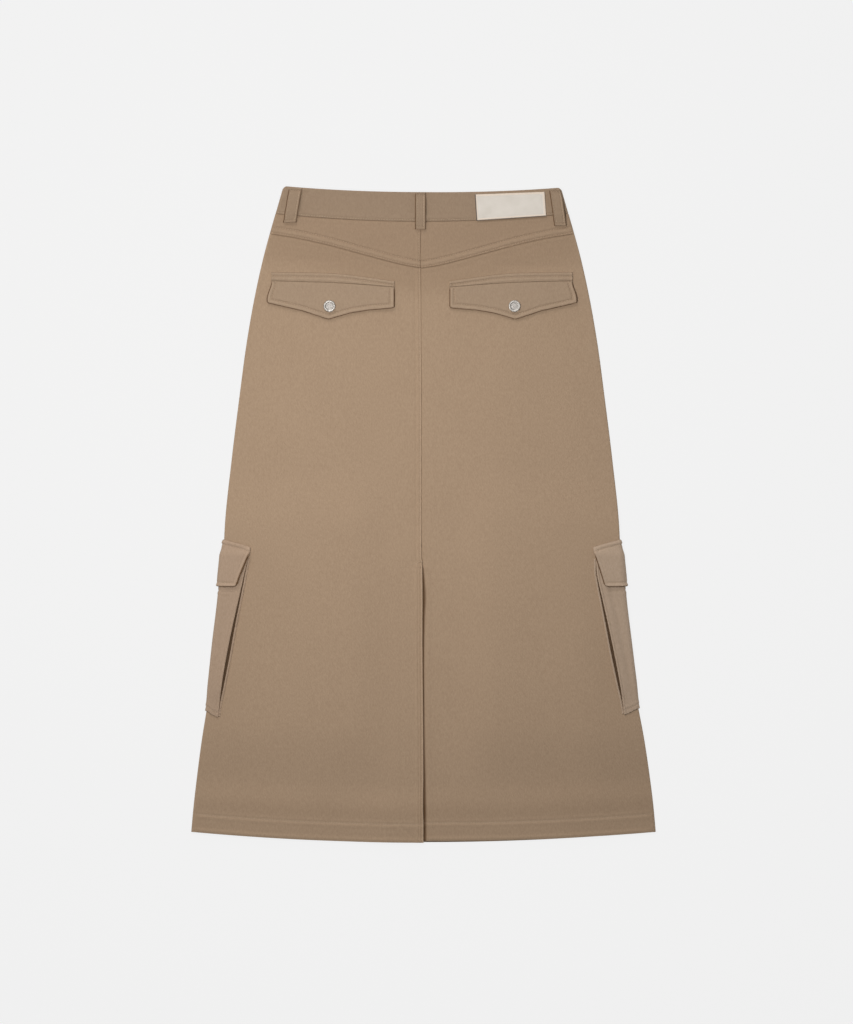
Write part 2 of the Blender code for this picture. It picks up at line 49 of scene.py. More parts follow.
# Metres. A place on the tube is `around` and `y`: around is 0 at the centre back, 1 where the
# side fold begins, 2 where it ends underneath and 3 at the centre front, and negative on the left.
CLOTH = 0.0012  # one layer of twill
BAND = 0.0024  # the waistband, two layers pressed together
GAP = 0.0003  # clearance at a seam
INNER_GAP = 0.0016  # between the front and the back, inside the skirt
WAIST_Y = 0.3930
WAIST_DIP = 0.0070  # how much lower the top edge lies in the middle
WAIST_TILT = 0.0018  # how much lower the top edge lies at the right side
BAND_SEAM_Y = 0.3510
BAND_SEAM_RISE = 0.0090  # from the middle to the side folds
YOKE_TIP_Y = 0.2955  # of the yokes' lower point
HEM_Y = -0.3930
HEM_RISE = 0.0125  # from the middle to the side folds
HEM_DEPTH = 0.0240  # of the hem's turning
HEM_STEP = 0.0030
RIGHT_HEM_SHORT = 0.0018  # how much shorter the right panel is at the vent
WAIST_REST = 0.0030  # how far the button and the loops hold the waist up
WAIST_SLOPE = 0.0600
WAIST_EXTRA = 0.0012
HEM_SLOPE = 0.0430
UNDER_POCKET = 0.0045  # how far the pockets hold the front up
VENT_TOP_Y = -0.0620
UNDERLAP = 0.0280  # width of the right panel under the left at the vent
VENT_SLOPE = 0.0600
CORNER_RADIUS = 0.0046  # of the band's top corners, as seen from above
HALF_WAIST = 0.1640
WAIST_FOLD = 0.0026  # how far a side fold reaches out at the waist
SIDE_SEAM = 1.5  # where a back meets a front, halfway round the fold
SIDE_SEAM_STEP = 0.0200

# The outline from above: y, half of the width, and how far the middle leans aside.
OUTLINE = np.array([
    (-0.3930, 0.2796, 0.0000),
    (-0.3430, 0.2750, 0.0000),
    (-0.2710, 0.2653, -0.0005),
    (-0.2226, 0.2570, -0.0011),
    (-0.1506, 0.2482, -0.0018),
    (-0.1026, 0.2424, -0.0018),
    (-0.0546, 0.2383, -0.0018),
    (-0.0066, 0.2358, -0.0018),
    (0.0654, 0.2284, -0.0018),
    (0.1374, 0.2195, -0.0018),
    (0.2094, 0.2098, -0.0018),
    (0.2574, 0.2014, -0.0018),
    (0.3054, 0.1909, -0.0018),
    (0.3534, 0.1775, -0.0018),
    (0.3774, 0.1706, -0.0018),
    (0.3930, 0.1661, -0.0018),
])

# The yoke seam: share of the way out to the side, and how far the seam has climbed there.
YOKE_SEAM = np.array([
    (0.00, 0.0000),
    (0.08, 0.0025),
    (0.30, 0.0125),
    (0.60, 0.0270),
    (0.82, 0.0355),
    (1.00, 0.0405),
])

# How the cloth lies between its seams: soft swells (+) and troughs (-), each from one point to
# another as seen from above, with its half width and its height.
LIE = np.array([
    (-0.120, -0.310, -0.088, -0.010, 0.030, 0.0011),
    (-0.205, -0.300, -0.176, -0.120, 0.024, -0.0008),
    (-0.052, -0.330, -0.044, -0.110, 0.020, -0.0007),
    (0.070, -0.320, 0.052, -0.060, 0.030, 0.0010),
    (0.150, -0.300, 0.122, -0.020, 0.028, -0.0009),
    (0.205, -0.330, 0.186, -0.150, 0.022, 0.0008),
    (-0.150, 0.040, -0.120, 0.180, 0.030, 0.0009),
    (-0.055, 0.030, -0.062, 0.200, 0.024, -0.0007),
    (0.095, 0.020, 0.084, 0.170, 0.030, 0.0009),
    (0.160, 0.060, 0.140, 0.200, 0.022, -0.0006),
    (-0.098, 0.3040, -0.150, 0.3060, 0.0055, -0.0008),
    (0.090, 0.2995, 0.175, 0.2960, 0.0055, -0.0008),
    (-0.030, 0.330, -0.075, 0.318, 0.010, -0.0005),
    (0.028, 0.332, 0.080, 0.322, 0.010, -0.0005),
])


def ease(value, start, end):
    """0 at the start and 1 at the end, easing in and out."""
    share = np.clip((value - start) / (end - start), 0.0, 1.0)
    return share * share * (3 - 2 * share)


def follow(places, values, at):
    """Values on a smooth curve through a table's points."""
    slopes = np.gradient(values, places)
    i = np.clip(np.searchsorted(places, at) - 1, 0, len(places) - 2)
    step = places[i + 1] - places[i]
    t = np.clip((at - places[i]) / step, 0.0, 1.0)
    return (
        (1 + 2 * t) * (1 - t) ** 2 * values[i]
        + t * t * (3 - 2 * t) * values[i + 1]
        + t * (1 - t) ** 2 * step * slopes[i]
        + t * t * (t - 1) * step * slopes[i + 1]
    )


def bell(distance, width):
    """1 on a line and fading to nothing over its width on either side."""
    return np.exp(-((distance / width) ** 2))


def crevice(distance, width, depth):
    """How dark the cloth is in a crevice: to its depth at an edge, and nothing past its width."""
    return depth * (1 - ease(distance, width * 0.35, width))


def on_flat(around):
    """1 on the flat of the back or the front, and 0 where the cloth rolls over a side."""
    return 1 - ease(0.5 - np.abs(np.abs(around) - SIDE_SEAM), -0.05, 0.10)


def share_of(around):
    """Share of the way from the centre to the side fold, on the back or on the front."""
    return np.minimum(np.minimum(np.abs(around), 1.0), 3.0 - np.abs(around))


def hem_edge(around):
    share = share_of(around)
    short = np.where((around > 0) & (around <= 1), RIGHT_HEM_SHORT * (1 - share), 0.0)
    return HEM_Y + HEM_RISE * share**2 + short


def waist_edge(around):
    """The top edge, rounded off where it turns over each side fold."""
    turn = np.abs(around)
    flat = np.maximum(np.maximum(1 - turn, turn - 2), 0.0) * HALF_WAIST
    folded = 1 - np.sin((np.clip(turn, 1.0, 2.0) - 1) * math.pi)
    in_corner = np.clip(1 - (flat + WAIST_FOLD * folded) / CORNER_RADIUS, 0.0, 0.97)
    corner = CORNER_RADIUS * (1 - np.sqrt(1 - in_corner**2))
    tilt = np.where(np.asarray(around) > 0, WAIST_TILT * share_of(around), 0.0)
    return WAIST_Y - WAIST_DIP * (1 - share_of(around) ** 2) - tilt - corner


def band_seam(around):
    return BAND_SEAM_Y + BAND_SEAM_RISE * share_of(around) ** 2


def yoke_seam(around):
    return YOKE_TIP_Y + follow(YOKE_SEAM[:, 0], YOKE_SEAM[:, 1], share_of(around))


def at_waist(y):
    return ease(y, BAND_SEAM_Y - WAIST_SLOPE, BAND_SEAM_Y)


def at_hem(around, y):
    start = hem_edge(around) + HEM_DEPTH + HEM_STEP
    return 1 - ease(y, start, start + HEM_SLOPE)


def between_layers(around, y):
    """How far the middle of the back's cloth lies above the middle of the front's."""
    return CLOTH + INNER_GAP + at_waist(y) * WAIST_EXTRA + at_hem(around, y) * 2 * CLOTH


def roll(y):
    """Radius of a side fold, in the middle of its cloth."""
    return between_layers(np.ones_like(y), y) / 2


def shift(y):
    return follow(OUTLINE[:, 0], OUTLINE[:, 2], y)


def reach(y):
    """Half the width of the flat cloth, from the centre to where a side fold begins."""
    return follow(OUTLINE[:, 0], OUTLINE[:, 1], y) - CLOTH / 2 - roll(y)


def front_height(across, y):
    """Height of the front's cloth, held up by the cargo pockets and by the waist's button."""
    inward = ease(across, 0.035, 0.090)
    pocket = inward * ease(y, -0.330, -0.252) * (1 - ease(y, -0.020, 0.060))
    waist = at_waist(y) * (WAIST_REST + (BAND - CLOTH) / 2)
    return CLOTH / 2 + UNDER_POCKET * pocket + waist


def lie(x, y):
    """How far the back's cloth swells or sinks at a place seen from above."""
    height = np.zeros_like(x)
    for x1, y1, x2, y2, width, rise in LIE:
        along = np.array([x2 - x1, y2 - y1])
        length = np.linalg.norm(along)
        t = ((x - x1) * along[0] + (y - y1) * along[1]) / length**2
        held = np.clip(t, 0.0, 1.0)
        away = np.hypot(x - x1 - held * along[0], y - y1 - held * along[1])
        height += rise * bell(away, width)
    return height


def middle(around, y):
    """A point in the middle of the tube's cloth."""
    side = np.where(around < 0, -1.0, 1.0)
    turn = np.abs(around)
    flat = reach(y)
    angle = (np.clip(turn, 1.0, 2.0) - 1) * math.pi
    across = np.where(turn <= 1, turn * flat, flat + roll(y) * np.sin(angle))
    across = np.where(turn >= 2, (3 - turn) * flat, across)
    bottom = front_height(np.minimum(np.abs(across), flat), y)
    top = bottom + between_layers(around, y)
    height = (top + bottom) / 2 + (top - bottom) / 2 * np.cos(angle)
    x = side * across + shift(y)
    free = (1 - ease(turn, 0.86, 1.0)) * ease(y, HEM_Y, HEM_Y + 0.06)
    free = free * (1 - ease(y, BAND_SEAM_Y - 0.022, BAND_SEAM_Y))
    return np.stack([x, y, height + lie(x, y) * free], axis=-1)


def place(around, y, offset):
    """A point at an offset out from the middle of the cloth, never under the resting surface."""
    around, y, offset = np.broadcast_arrays(
        np.asarray(around, float), np.asarray(y, float), np.asarray(offset, float)
    )
    turn_way = middle(around + 0.002, y) - middle(around - 0.002, y)
    along_way = middle(around, y + 0.0005) - middle(around, y - 0.0005)
    normal = np.cross(turn_way, along_way)
    normal /= np.linalg.norm(normal, axis=-1, keepdims=True)
    point = middle(around, y) + normal * offset[..., None]
    point[..., 2] = np.maximum(point[..., 2], 0.0)
    return point


def graded(length, first, largest, growth=1.3):
    """Distances from an edge, close together at the edge and wider apart further in."""
    steps = [0.0]
    step = first
    while steps[-1] + step < length:
        steps.append(steps[-1] + step)
        step = min(step * growth, largest)
    return np.array(steps + [length])


def both_ends(length, near, count):
    """Distances along a piece, as close together as `near` at both of its ends."""
    rest = np.linspace(near[-1], length - near[-1], count)[1:-1]
    return np.concatenate([near, rest, length - near[::-1]])


def linear(hex_colour):
    """A hex sRGB colour as linear light, with alpha."""
    parts = [int(hex_colour[i : i + 2], 16) / 255 for i in (1, 3, 5)]
    light = [p / 12.92 if p <= 0.04045 else ((p + 0.055) / 1.055) ** 2.4 for p in parts]
    return (*light, 1.0)


def add_node(tree, kind, settings=None, links=None):
    """A node with its settings: attributes by name, and sockets by name or number."""
    node = tree.nodes.new(kind)
    for key, value in (settings or {}).items():
        if isinstance(key, str) and hasattr(node, key):
            setattr(node, key, value)
        else:
            node.inputs[key].default_value = value
    for socket, source in (links or {}).items():
        tree.links.new(source, node.inputs[socket])
    return node


# Brushed cotton twill: matte, with short fibres that catch a little light at a slant. The wales
# run up to the right. Real ones are 0.8 mm apart, too fine to show, and are drawn at 1.5 mm.
WALE = 0.0015
TEXTURE_TURN = 2 * math.pi / 20  # a wave texture's period at a scale of 1
HEATHER = 0.0017  # length of the flecks where darker and lighter fibres mix
CLOUD = 0.070  # length of the faint patches that dyeing and brushing leave
CREVICE_COLOUR = "#5f442a"  # twill lit only by light that other twill has thrown back


def twill(name, dark, light):
    """Yarn-dyed flecks between two colours, under wales and fine fibre as relief.

    A piece's `shade` paints shade into its crevices, which hold less light than its thin walls can
    show, and where it is negative paints highlights.
    """
    material = bpy.data.materials.new(name)
    material.use_nodes = True
    tree = material.node_tree
    shader = tree.nodes["Principled BSDF"]
    shader.inputs["Roughness"].default_value = 0.90
    shader.inputs["IOR"].default_value = 1.50
    shader.inputs["Specular IOR Level"].default_value = 0.18
    shader.inputs["Sheen Weight"].default_value = 0.08
    shader.inputs["Sheen Roughness"].default_value = 0.50
    shader.inputs["Sheen Tint"].default_value = linear("#e2cdb4")
    spot = add_node(tree, "ShaderNodeTexCoord").outputs["Object"]
    turned = add_node(
        tree,
        "ShaderNodeMapping",
        {"Rotation": (0.0, 0.0, math.radians(62))},
        {"Vector": spot},
    ).outputs["Vector"]
    wales = add_node(
        tree,
        "ShaderNodeTexWave",
        {"Scale": TEXTURE_TURN / WALE, "Distortion": 1.6, "Detail": 2.0, "Detail Scale": 2.5},
        {"Vector": turned},
    ).outputs["Fac"]
    stretched = add_node(
        tree,
        "ShaderNodeMapping",
        {"Scale": (1.0, 0.45, 1.0)},
        {"Vector": spot},
    ).outputs["Vector"]
    flecks = add_node(
        tree,
        "ShaderNodeTexNoise",
        {"Scale": 1 / HEATHER, "Detail": 4.0, "Roughness": 0.72},
        {"Vector": stretched},
    ).outputs["Fac"]
    clouds = add_node(
        tree,
        "ShaderNodeTexNoise",
        {"Scale": 1 / CLOUD, "Detail": 2.0},
        {"Vector": spot},
    ).outputs["Fac"]
    mixed = add_node(
        tree,
        "ShaderNodeMath",
        {"operation": "MULTIPLY_ADD", 1: 0.12},
        {0: clouds, 2: flecks},
    ).outputs[0]
    toned = add_node(
        tree,
        "ShaderNodeMath",
        {"operation": "MULTIPLY_ADD", 1: 0.14},
        {0: wales, 2: mixed},
    ).outputs[0]
    ramp = add_node(tree, "ShaderNodeValToRGB", {}, {"Fac": toned})
    ramp.color_ramp.elements[0].position = 0.22
    ramp.color_ramp.elements[0].color = linear(dark)
    ramp.color_ramp.elements[1].position = 1.02
    ramp.color_ramp.elements[1].color = linear(light)
    shade = add_node(tree, "ShaderNodeAttribute", {"attribute_name": "shade"}).outputs["Fac"]
    shaded = add_node(
        tree,
        "ShaderNodeMix",
        {"data_type": "RGBA", "clamp_factor": False, 7: linear(CREVICE_COLOUR)},
        {0: shade, 6: ramp.outputs["Color"]},
    ).outputs[2]
    tree.links.new(shaded, shader.inputs["Base Color"])
    fibre = add_node(
        tree,
        "ShaderNodeBump",
        {"Strength": 0.30, "Distance": 0.0004},
        {"Height": flecks},
    ).outputs["Normal"]
    relief = add_node(
        tree,
        "ShaderNodeBump",
        {"Strength": 0.22, "Distance": 0.0004},
        {"Height": wales, "Normal": fibre},
    ).outputs["Normal"]
    tree.links.new(relief, shader.inputs["Normal"])
    return material


skirt_twill = twill("brushed_cotton_twill", "#9f866e", "#b9a086")


def panel(name, around, y, outer, inner, material, rounding=0.0004, present=None, turned=0.0,
          shade=None):
    """A closed wall of cloth over a grid of places, thinned to a round edge all the way along.

    outer and inner are each face's offset at every place. Returns the piece and its cut: the
    flat width and length, with the turned-up cloth added, and the flat area.
    """
    columns, rows = around.shape
    centre = place(around, y, 0.0)
    along = np.linalg.norm(np.diff(centre, axis=0), axis=-1)
    down = np.linalg.norm(np.diff(centre, axis=1), axis=-1)
    from_start = np.vstack([np.zeros((1, rows)), np.cumsum(along, axis=0)])
    from_top = np.hstack([np.zeros((columns, 1)), np.cumsum(down, axis=1)])
    if present is not None:
        first = np.argmax(present, axis=0)
        start = np.array([from_start[i, j] for j, i in enumerate(np.append(first, first[-1]))])
        from_start = np.maximum(from_start - start[None, :], 0.0)
    to_edge = np.minimum(
        np.minimum(from_start, from_start[-1] - from_start),
        np.minimum(from_top, from_top[:, -1:] - from_top),
    )
    thin = 0.14 + 0.86 * np.sqrt(1 - (1 - np.clip(to_edge / rounding, 0, 1)) ** 2)
    middle_offset = (outer + inner) / 2
    half = (outer - inner) / 2 * thin
    top = place(around, y, middle_offset + half).reshape(-1, 3)
    under = place(around, y, middle_offset - half).reshape(-1, 3)
    cells = np.ones((columns - 1, rows - 1), bool) if present is None else present
    i, j = np.nonzero(cells)
    corner = i * rows + j
    quads = np.stack([corner, corner + rows, corner + rows + 1, corner + 1], axis=1)
    count = columns * rows
    edges = np.concatenate([quads[:, [k, (k + 1) % 4]] for k in range(4)])
    key = edges[:, 0] * count + edges[:, 1]
    rim = edges[~np.isin(key, edges[:, 1] * count + edges[:, 0])]
    sides = np.stack([rim[:, 1], rim[:, 0], rim[:, 0] + count, rim[:, 1] + count], axis=1)
    faces = np.concatenate([quads, quads[:, ::-1] + count, sides])
    vertices = np.concatenate([top, under])
    used = np.unique(faces)
    renumber = np.zeros(len(vertices), int)
    renumber[used] = np.arange(len(used))
    mesh = bpy.data.meshes.new(name)
    mesh.from_pydata(vertices[used].tolist(), [], renumber[faces].tolist())
    shape = bmesh.new()
    shape.from_mesh(mesh)
    bmesh.ops.recalc_face_normals(shape, faces=shape.faces)
    shape.to_mesh(mesh)
    shape.free()
    if shade is not None:
        both_faces = np.tile(shade.ravel(), 2)[used].astype(np.float32)
        mesh.attributes.new("shade", "FLOAT", "POINT").data.foreach_set("value", both_faces)
    mesh.polygons.foreach_set("use_smooth", [True] * len(mesh.polygons))
    mesh.materials.append(material)
    piece = bpy.data.objects.new(name, mesh)
    bpy.context.scene.collection.objects.link(piece)
    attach(piece, "root")
    cross = np.linalg.norm(
        np.cross(centre[1:, :-1] - centre[:-1, :-1], centre[:-1, 1:] - centre[:-1, :-1]), axis=-1
    )
    width = float(from_start[-1].max())
    length = float(from_top[:, -1].max())
    cut = {
        "flat": (width, length + turned),
        "area": min(float((cross * cells).sum()) + width * turned, width * (length + turned)),
    }
    return piece, cut


STITCH = 0.0026  # length of one stitch
STITCH_PITCH = 0.0031
THREAD = 0.00026  # half the thickness of the topstitching thread as it lies
THREAD_SEAT = THREAD * 0.4  # how far the middle of a stitch lies above the cloth
THREAD_SIDES = 5
STITCH_TWIST = 0.12  # each stitch lies at a slight slant to its line


def mottled(name, scale, detail, stops, settings):
    """A material whose colour wanders between two stops, as noise of a scale per metre.

    Returns it with its shader, the place on the object, the noise and the noise's colour.
    """
    material = bpy.data.materials.new(name)
    material.use_nodes = True
    tree = material.node_tree
    shader = tree.nodes["Principled BSDF"]
    for socket, value in settings.items():
        shader.inputs[socket].default_value = value
    spot = add_node(tree, "ShaderNodeTexCoord").outputs["Object"]
    noise = add_node(
        tree, "ShaderNodeTexNoise", {"Scale": scale, "Detail": detail}, {"Vector": spot}
    ).outputs["Fac"]
    ramp = add_node(tree, "ShaderNodeValToRGB", {}, {"Fac": noise})
    for stop, (position, colour) in zip(ramp.color_ramp.elements, stops):
        stop.position = position
        stop.color = linear(colour)
    tree.links.new(ramp.outputs["Color"], shader.inputs["Base Color"])
    return material, shader, spot, noise, ramp.outputs["Color"]


# Topstitching thread: polyester-wrapped, dyed to the cloth and a shade lighter, with a soft shine.
thread = mottled(
    "topstitching_thread", 900.0, 2.0, ((0.0, "#ab947b"), (1.0, "#c8b197")),
    {"Roughness": 0.62, "IOR": 1.53},
)[0]


def stitches(name, lines):
    """One mesh of all the stitches along some lines, each a line of points on the cloth."""
    vertices = []
    faces = []
    for line in lines:
        line = np.asarray(line)
        run = np.append(0.0, np.cumsum(np.linalg.norm(np.diff(line, axis=0), axis=1)))
        starts = np.arange(0.0003, run[-1] - STITCH, STITCH_PITCH)
        for start in starts:
            ends = [
                np.array([np.interp(at, run, line[:, axis]) for axis in range(3)])
                for at in (start, start + STITCH / 2, start + STITCH)
            ]
            way = ends[2] - ends[0]
            way /= np.linalg.norm(way)
            aside = np.cross((0.0, 0.0, 1.0), way)
            aside /= max(np.linalg.norm(aside), 1e-9)
            up = np.cross(way, aside)
            slant = aside * THREAD * STITCH_TWIST
            rings = [
                (ends[0] - slant - up * THREAD * 0.9, 0.35),
                (ends[0] * 0.75 + ends[2] * 0.25 - slant, 1.0),
                (ends[0] * 0.25 + ends[2] * 0.75 + slant, 1.0),
                (ends[2] + slant - up * THREAD * 0.9, 0.35),
            ]
            base = len(vertices)
            for centre, size in rings:
                for turn in range(THREAD_SIDES):
                    angle = 2 * math.pi * turn / THREAD_SIDES
                    step = aside * math.cos(angle) + up * math.sin(angle) * 0.8
                    vertices.append(centre + step * THREAD * size)
            for ring in range(len(rings) - 1):
                for turn in range(THREAD_SIDES):
                    a = base + ring * THREAD_SIDES + turn
                    b = base + ring * THREAD_SIDES + (turn + 1) % THREAD_SIDES
                    faces.append((a, b, b + THREAD_SIDES, a + THREAD_SIDES))
            faces.append([base + turn for turn in reversed(range(THREAD_SIDES))])
            last = base + (len(rings) - 1) * THREAD_SIDES
            faces.append([last + turn for turn in range(THREAD_SIDES)])
    mesh = bpy.data.meshes.new(name)
    mesh.from_pydata([tuple(v) for v in vertices], [], faces)
    mesh.polygons.foreach_set("use_smooth", [True] * len(mesh.polygons))
    mesh.materials.append(thread)
    piece = bpy.data.objects.new(name, mesh)
    bpy.context.scene.collection.objects.link(piece)
    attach(piece, "root")
    return piece


def turned_up(around, y):
    """How much of the hem's second layer there is: 1 on the hem, 0 above it."""
    edge = hem_edge(around) + HEM_DEPTH
    return 1 - ease(y, edge - 0.0004, edge + 0.0010)


SEAM_HALF_GAP = 0.00002  # sewn edges all but touch, so no light comes through a seam


def panel_rows(around_at, top, counts, fine_top, fine_hem):
    """Rows of y down a panel: close under its top seam, then even to the vent, then to the hem."""
    count_upper, count_lower = counts
    under = top[:, None] - SEAM_HALF_GAP - fine_top[None, :]
    hem = hem_edge(around_at)
    over = hem[:, None] + fine_hem[::-1][None, :]
    upper = np.linspace(0, 1, count_upper + 1)[None, 1:]
    lower = np.linspace(0, 1, count_lower + 1)[None, 1:-1]
    first = under[:, -1:] + (VENT_TOP_Y - under[:, -1:]) * upper
    second = VENT_TOP_Y + (over[:, :1] - VENT_TOP_Y) * lower
    return np.concatenate([under, first, second, over], axis=1)


FRONT_ROWS = (70, 46)  # above and below the height of the vent's top
FRONT_REACH = 0.2000  # about half the width, to turn metres by the centre front into a share
front_fine = graded(0.010, 0.0002, 0.0012)
front_hem_fine = graded(0.030, 0.0002, 0.0012)
for side, name in ((-1, "front_left"), (1, "front_right")):
    fold = np.linspace(SIDE_SEAM + SIDE_SEAM_STEP, 2.0, 9)
    flat_part = np.linspace(2.0, 2.985, 40)[1:]
    near_centre = 3.0 - np.array([0.0022, 0.0010, 0.0004, 0.00003]) / FRONT_REACH
    around_line = np.concatenate([fold, flat_part, near_centre]) * side
    tops = band_seam(around_line)
    ys = panel_rows(around_line, tops, FRONT_ROWS, front_fine, front_hem_fine)
    grid = np.repeat(around_line[:, None], ys.shape[1], axis=1)
    outer = np.full(ys.shape, CLOTH / 2)
    inner = -CLOTH / 2 - CLOTH * turned_up(grid, ys)
    front, cut = panel(name + "_cloth", grid, ys, outer, inner, skirt_twill, turned=HEM_DEPTH)
    hem_line = np.linspace(SIDE_SEAM + 0.03, 2.99, 160) * side
    hem_ys = hem_edge(hem_line) + HEM_DEPTH - 0.0012
    hem_stitch = stitches(
        name + "_stitches", [place(hem_line, hem_ys, CLOTH / 2 + THREAD_SEAT)]
    )
    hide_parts(name)


# ---------------------------------------------------------------------------------------------
# The two back panels, in the same twill. They meet in a topstitched seam down the centre back,
# which opens into a vent whose left edge laps over the right. The hem is turned up and stitched.

HEM_STITCH = 0.0218  # above the bottom edge
SEAM_STITCH = 0.0021  # from the centre seam's edge
VENT_STITCH = 0.0024  # from the lapped edge
FACING_X = -0.0270  # where the facing under the lapped edge ends, seen from above
# The centre seam: y, and how far it leans from the middle.
SEAM_LINE = np.array([
    (-0.3930, 0.0001),
    (-0.3300, 0.0001),
    (-0.2200, 0.0006),
    (-0.1000, 0.0009),
    (-0.0800, 0.0008),
    (-0.0610, 0.0005),
    (-0.0510, -0.0005),
    (-0.0450, -0.0006),
    (0.1400, -0.0006),
    (0.3290, -0.0018),
])
BAR = ((-0.0263, -0.0652), (-0.0054, -0.0558))  # slanted stitching that holds the vent's top
MITRE = ((-0.0265, -0.3750), (-0.0082, -0.3906))  # the facing's folded corner, under the cloth
RING_CENTRE = (-0.0051, -0.0595)
RING_SIZE = (0.0028, 0.0036)

# How far the right panel sinks away beside the lapped edge: y, and the width of the hollow.
VENT_HOLLOW = np.array([
    (-0.3930, 0.0042),
    (-0.3450, 0.0036),
    (-0.2900, 0.0024),
    (-0.2200, 0.0018),
    (-0.1600, 0.0022),
    (-0.1200, 0.0034),
    (-0.1000, 0.0046),
    (-0.0800, 0.0030),
    (-0.0620, 0.0012),
])
HOLLOW_DEPTH = 0.0014
HOLLOW_SHADE = 0.86
UNDER_YOKE_SHADE = 0.14  # painted shade below the yoke's folded edge, where the cloth sinks away a little


def lean(y):
    """How far the centre seam leans from the middle."""
    return np.interp(y, SEAM_LINE[:, 0], SEAM_LINE[:, 1])


def pucker(run):
    """How unevenly stitching draws the cloth in along a seam, from -1 to 1."""
    wander = 1.7 * np.sin(run * 2 * math.pi / 0.067)
    return (
        0.45 * np.sin(run * 2 * math.pi / 0.0127 + wander)
        + 0.30 * np.sin(run * 2 * math.pi / 0.0191 - 0.6 * wander)
        + 0.25 * np.sin(run * 2 * math.pi / 0.0460 + 0.4)
    )


def from_line(x, y, line):
    """Distance from a straight line between two points, seen from above."""
    (x1, y1), (x2, y2) = line
    along_x, along_y = x2 - x1, y2 - y1
    t = ((x - x1) * along_x + (y - y1) * along_y) / (along_x**2 + along_y**2)
    t = np.clip(t, 0.0, 1.0)
    return np.hypot(x - x1 - t * along_x, y - y1 - t * along_y)


RIDGE = 1.8  # how high and deep stitching leaves the cloth, against a hard-pressed seam


def hem_relief(around, y):
    above = y - hem_edge(np.where(np.abs(around) < 1e-4, 1e-4, around))
    draw = 1 + 0.45 * pucker(around * 0.25)
    return RIDGE * on_flat(around) * (
        0.00035 * bell(above - 0.0030, 0.0024)
        + 0.00015 * draw * bell(above - HEM_STITCH + 0.0030, 0.0020)
        - 0.00012 * bell(above - HEM_STITCH, 0.0009)
        + 0.00012 * draw * bell(above - HEM_STITCH - 0.0030, 0.0020)
    )


def under_yoke(around, y):
    """A panel's top edge, which is turned under the yoke's."""
    below = yoke_seam(around) - y
    draw = 1 + 0.5 * pucker(around * 0.21)
    fold = 0.00020 * draw * bell(below - 0.0040, 0.0022) - 0.00018 * bell(below, 0.0010)
    return RIDGE * on_flat(around) * fold


# Painted shade below the yoke's folded edge.
def yoke_shade(around, y):
    return crevice(yoke_seam(around) - y, 0.045, UNDER_YOKE_SHADE) * on_flat(around)


def hem_shade(around, y):
    """Painted highlights along the hem's stitches and the ridges beside them, and painted shade
    above them.
    """
    above = y - hem_edge(np.where(np.abs(around) < 1e-4, 1e-4, around))
    ridges = bell(above - HEM_STITCH + 0.0034, 0.0020) + bell(above - HEM_STITCH - 0.0030, 0.0018)
    soft = 0.08 * bell(above - HEM_STITCH - 0.0130, 0.0100)
    line = 0.17 * bell(above - HEM_STITCH, 0.0013)
    return on_flat(around) * (soft - line - 0.02 * ridges)


def lap_shade(around, y):
    """Lighter along the vent's lapped edge, which turns up to the light."""
    inside = lean(y) - around * reach(y)
    below = 1 - ease(y, VENT_TOP_Y - 0.004, VENT_TOP_Y + 0.002)
    edge = 0.06 * bell(inside - VENT_STITCH, 0.0008) - 0.18 * bell(inside - 0.0011, 0.0010)
    seam = 0.06 * bell(inside - SEAM_STITCH, 0.0008) - 0.14 * bell(inside - 0.0011, 0.0010)
    return edge * below + seam * (1 - below)


def vent_raise(across, around, y):
    near = 1 - ease(across, UNDERLAP + 0.015, UNDERLAP + 0.015 + VENT_SLOPE)
    below = 1 - ease(y, VENT_TOP_Y, VENT_TOP_Y + VENT_SLOPE)
    return near * below * (CLOTH + GAP + CLOTH * at_hem(around, y))


def left_relief(around, y):
    """The left panel's seam allowances, stitching and vent facing, as they show from above."""
    across = around * reach(y)
    x = across + shift(y)
    inside = lean(y) - across
    vent = 1 - ease(y, VENT_TOP_Y - 0.004, VENT_TOP_Y + 0.004)
    draw = 1 + 0.4 * pucker(y)
    seam = (
        0.00034 * draw * (1 - ease(inside, 0.0030, 0.0065))
        - 0.00030 * bell(inside - SEAM_STITCH, 0.0008)
        - 0.00018 * bell(inside - 0.0068, 0.0010)
    )
    lapped = (
        0.00045 * bell(inside - 0.0010, 0.0012)
        - 0.00036 * bell(inside - VENT_STITCH, 0.0008)
        + 0.00034 * draw * bell(inside - 0.0040, 0.0013)
        - 0.00022 * bell(inside - 0.0056, 0.0008)
        + 0.00030 * bell(inside - 0.0072, 0.0016)
        + 0.00080 * (1 - ease(inside, 0.0, 0.0160)) * (0.4 + 0.6 * bell(y + 0.092, 0.040))
    )
    facing = -0.00022 * bell(x - FACING_X, 0.0014) * (1 - ease(y, -0.080, -0.062))
    bar = -0.00034 * bell(from_line(x, y, BAR), 0.0012)
    mitre = -0.00025 * bell(from_line(x, y, MITRE), 0.0012)
    ring = np.hypot((x - RING_CENTRE[0]) / RING_SIZE[0], (y - RING_CENTRE[1]) / RING_SIZE[1])
    tack = 0.00042 * bell(ring - 1, 0.30) - 0.00045 * bell(ring, 0.50)
    return RIDGE * (seam * (1 - vent) + (lapped + facing + mitre) * vent + bar + tack)


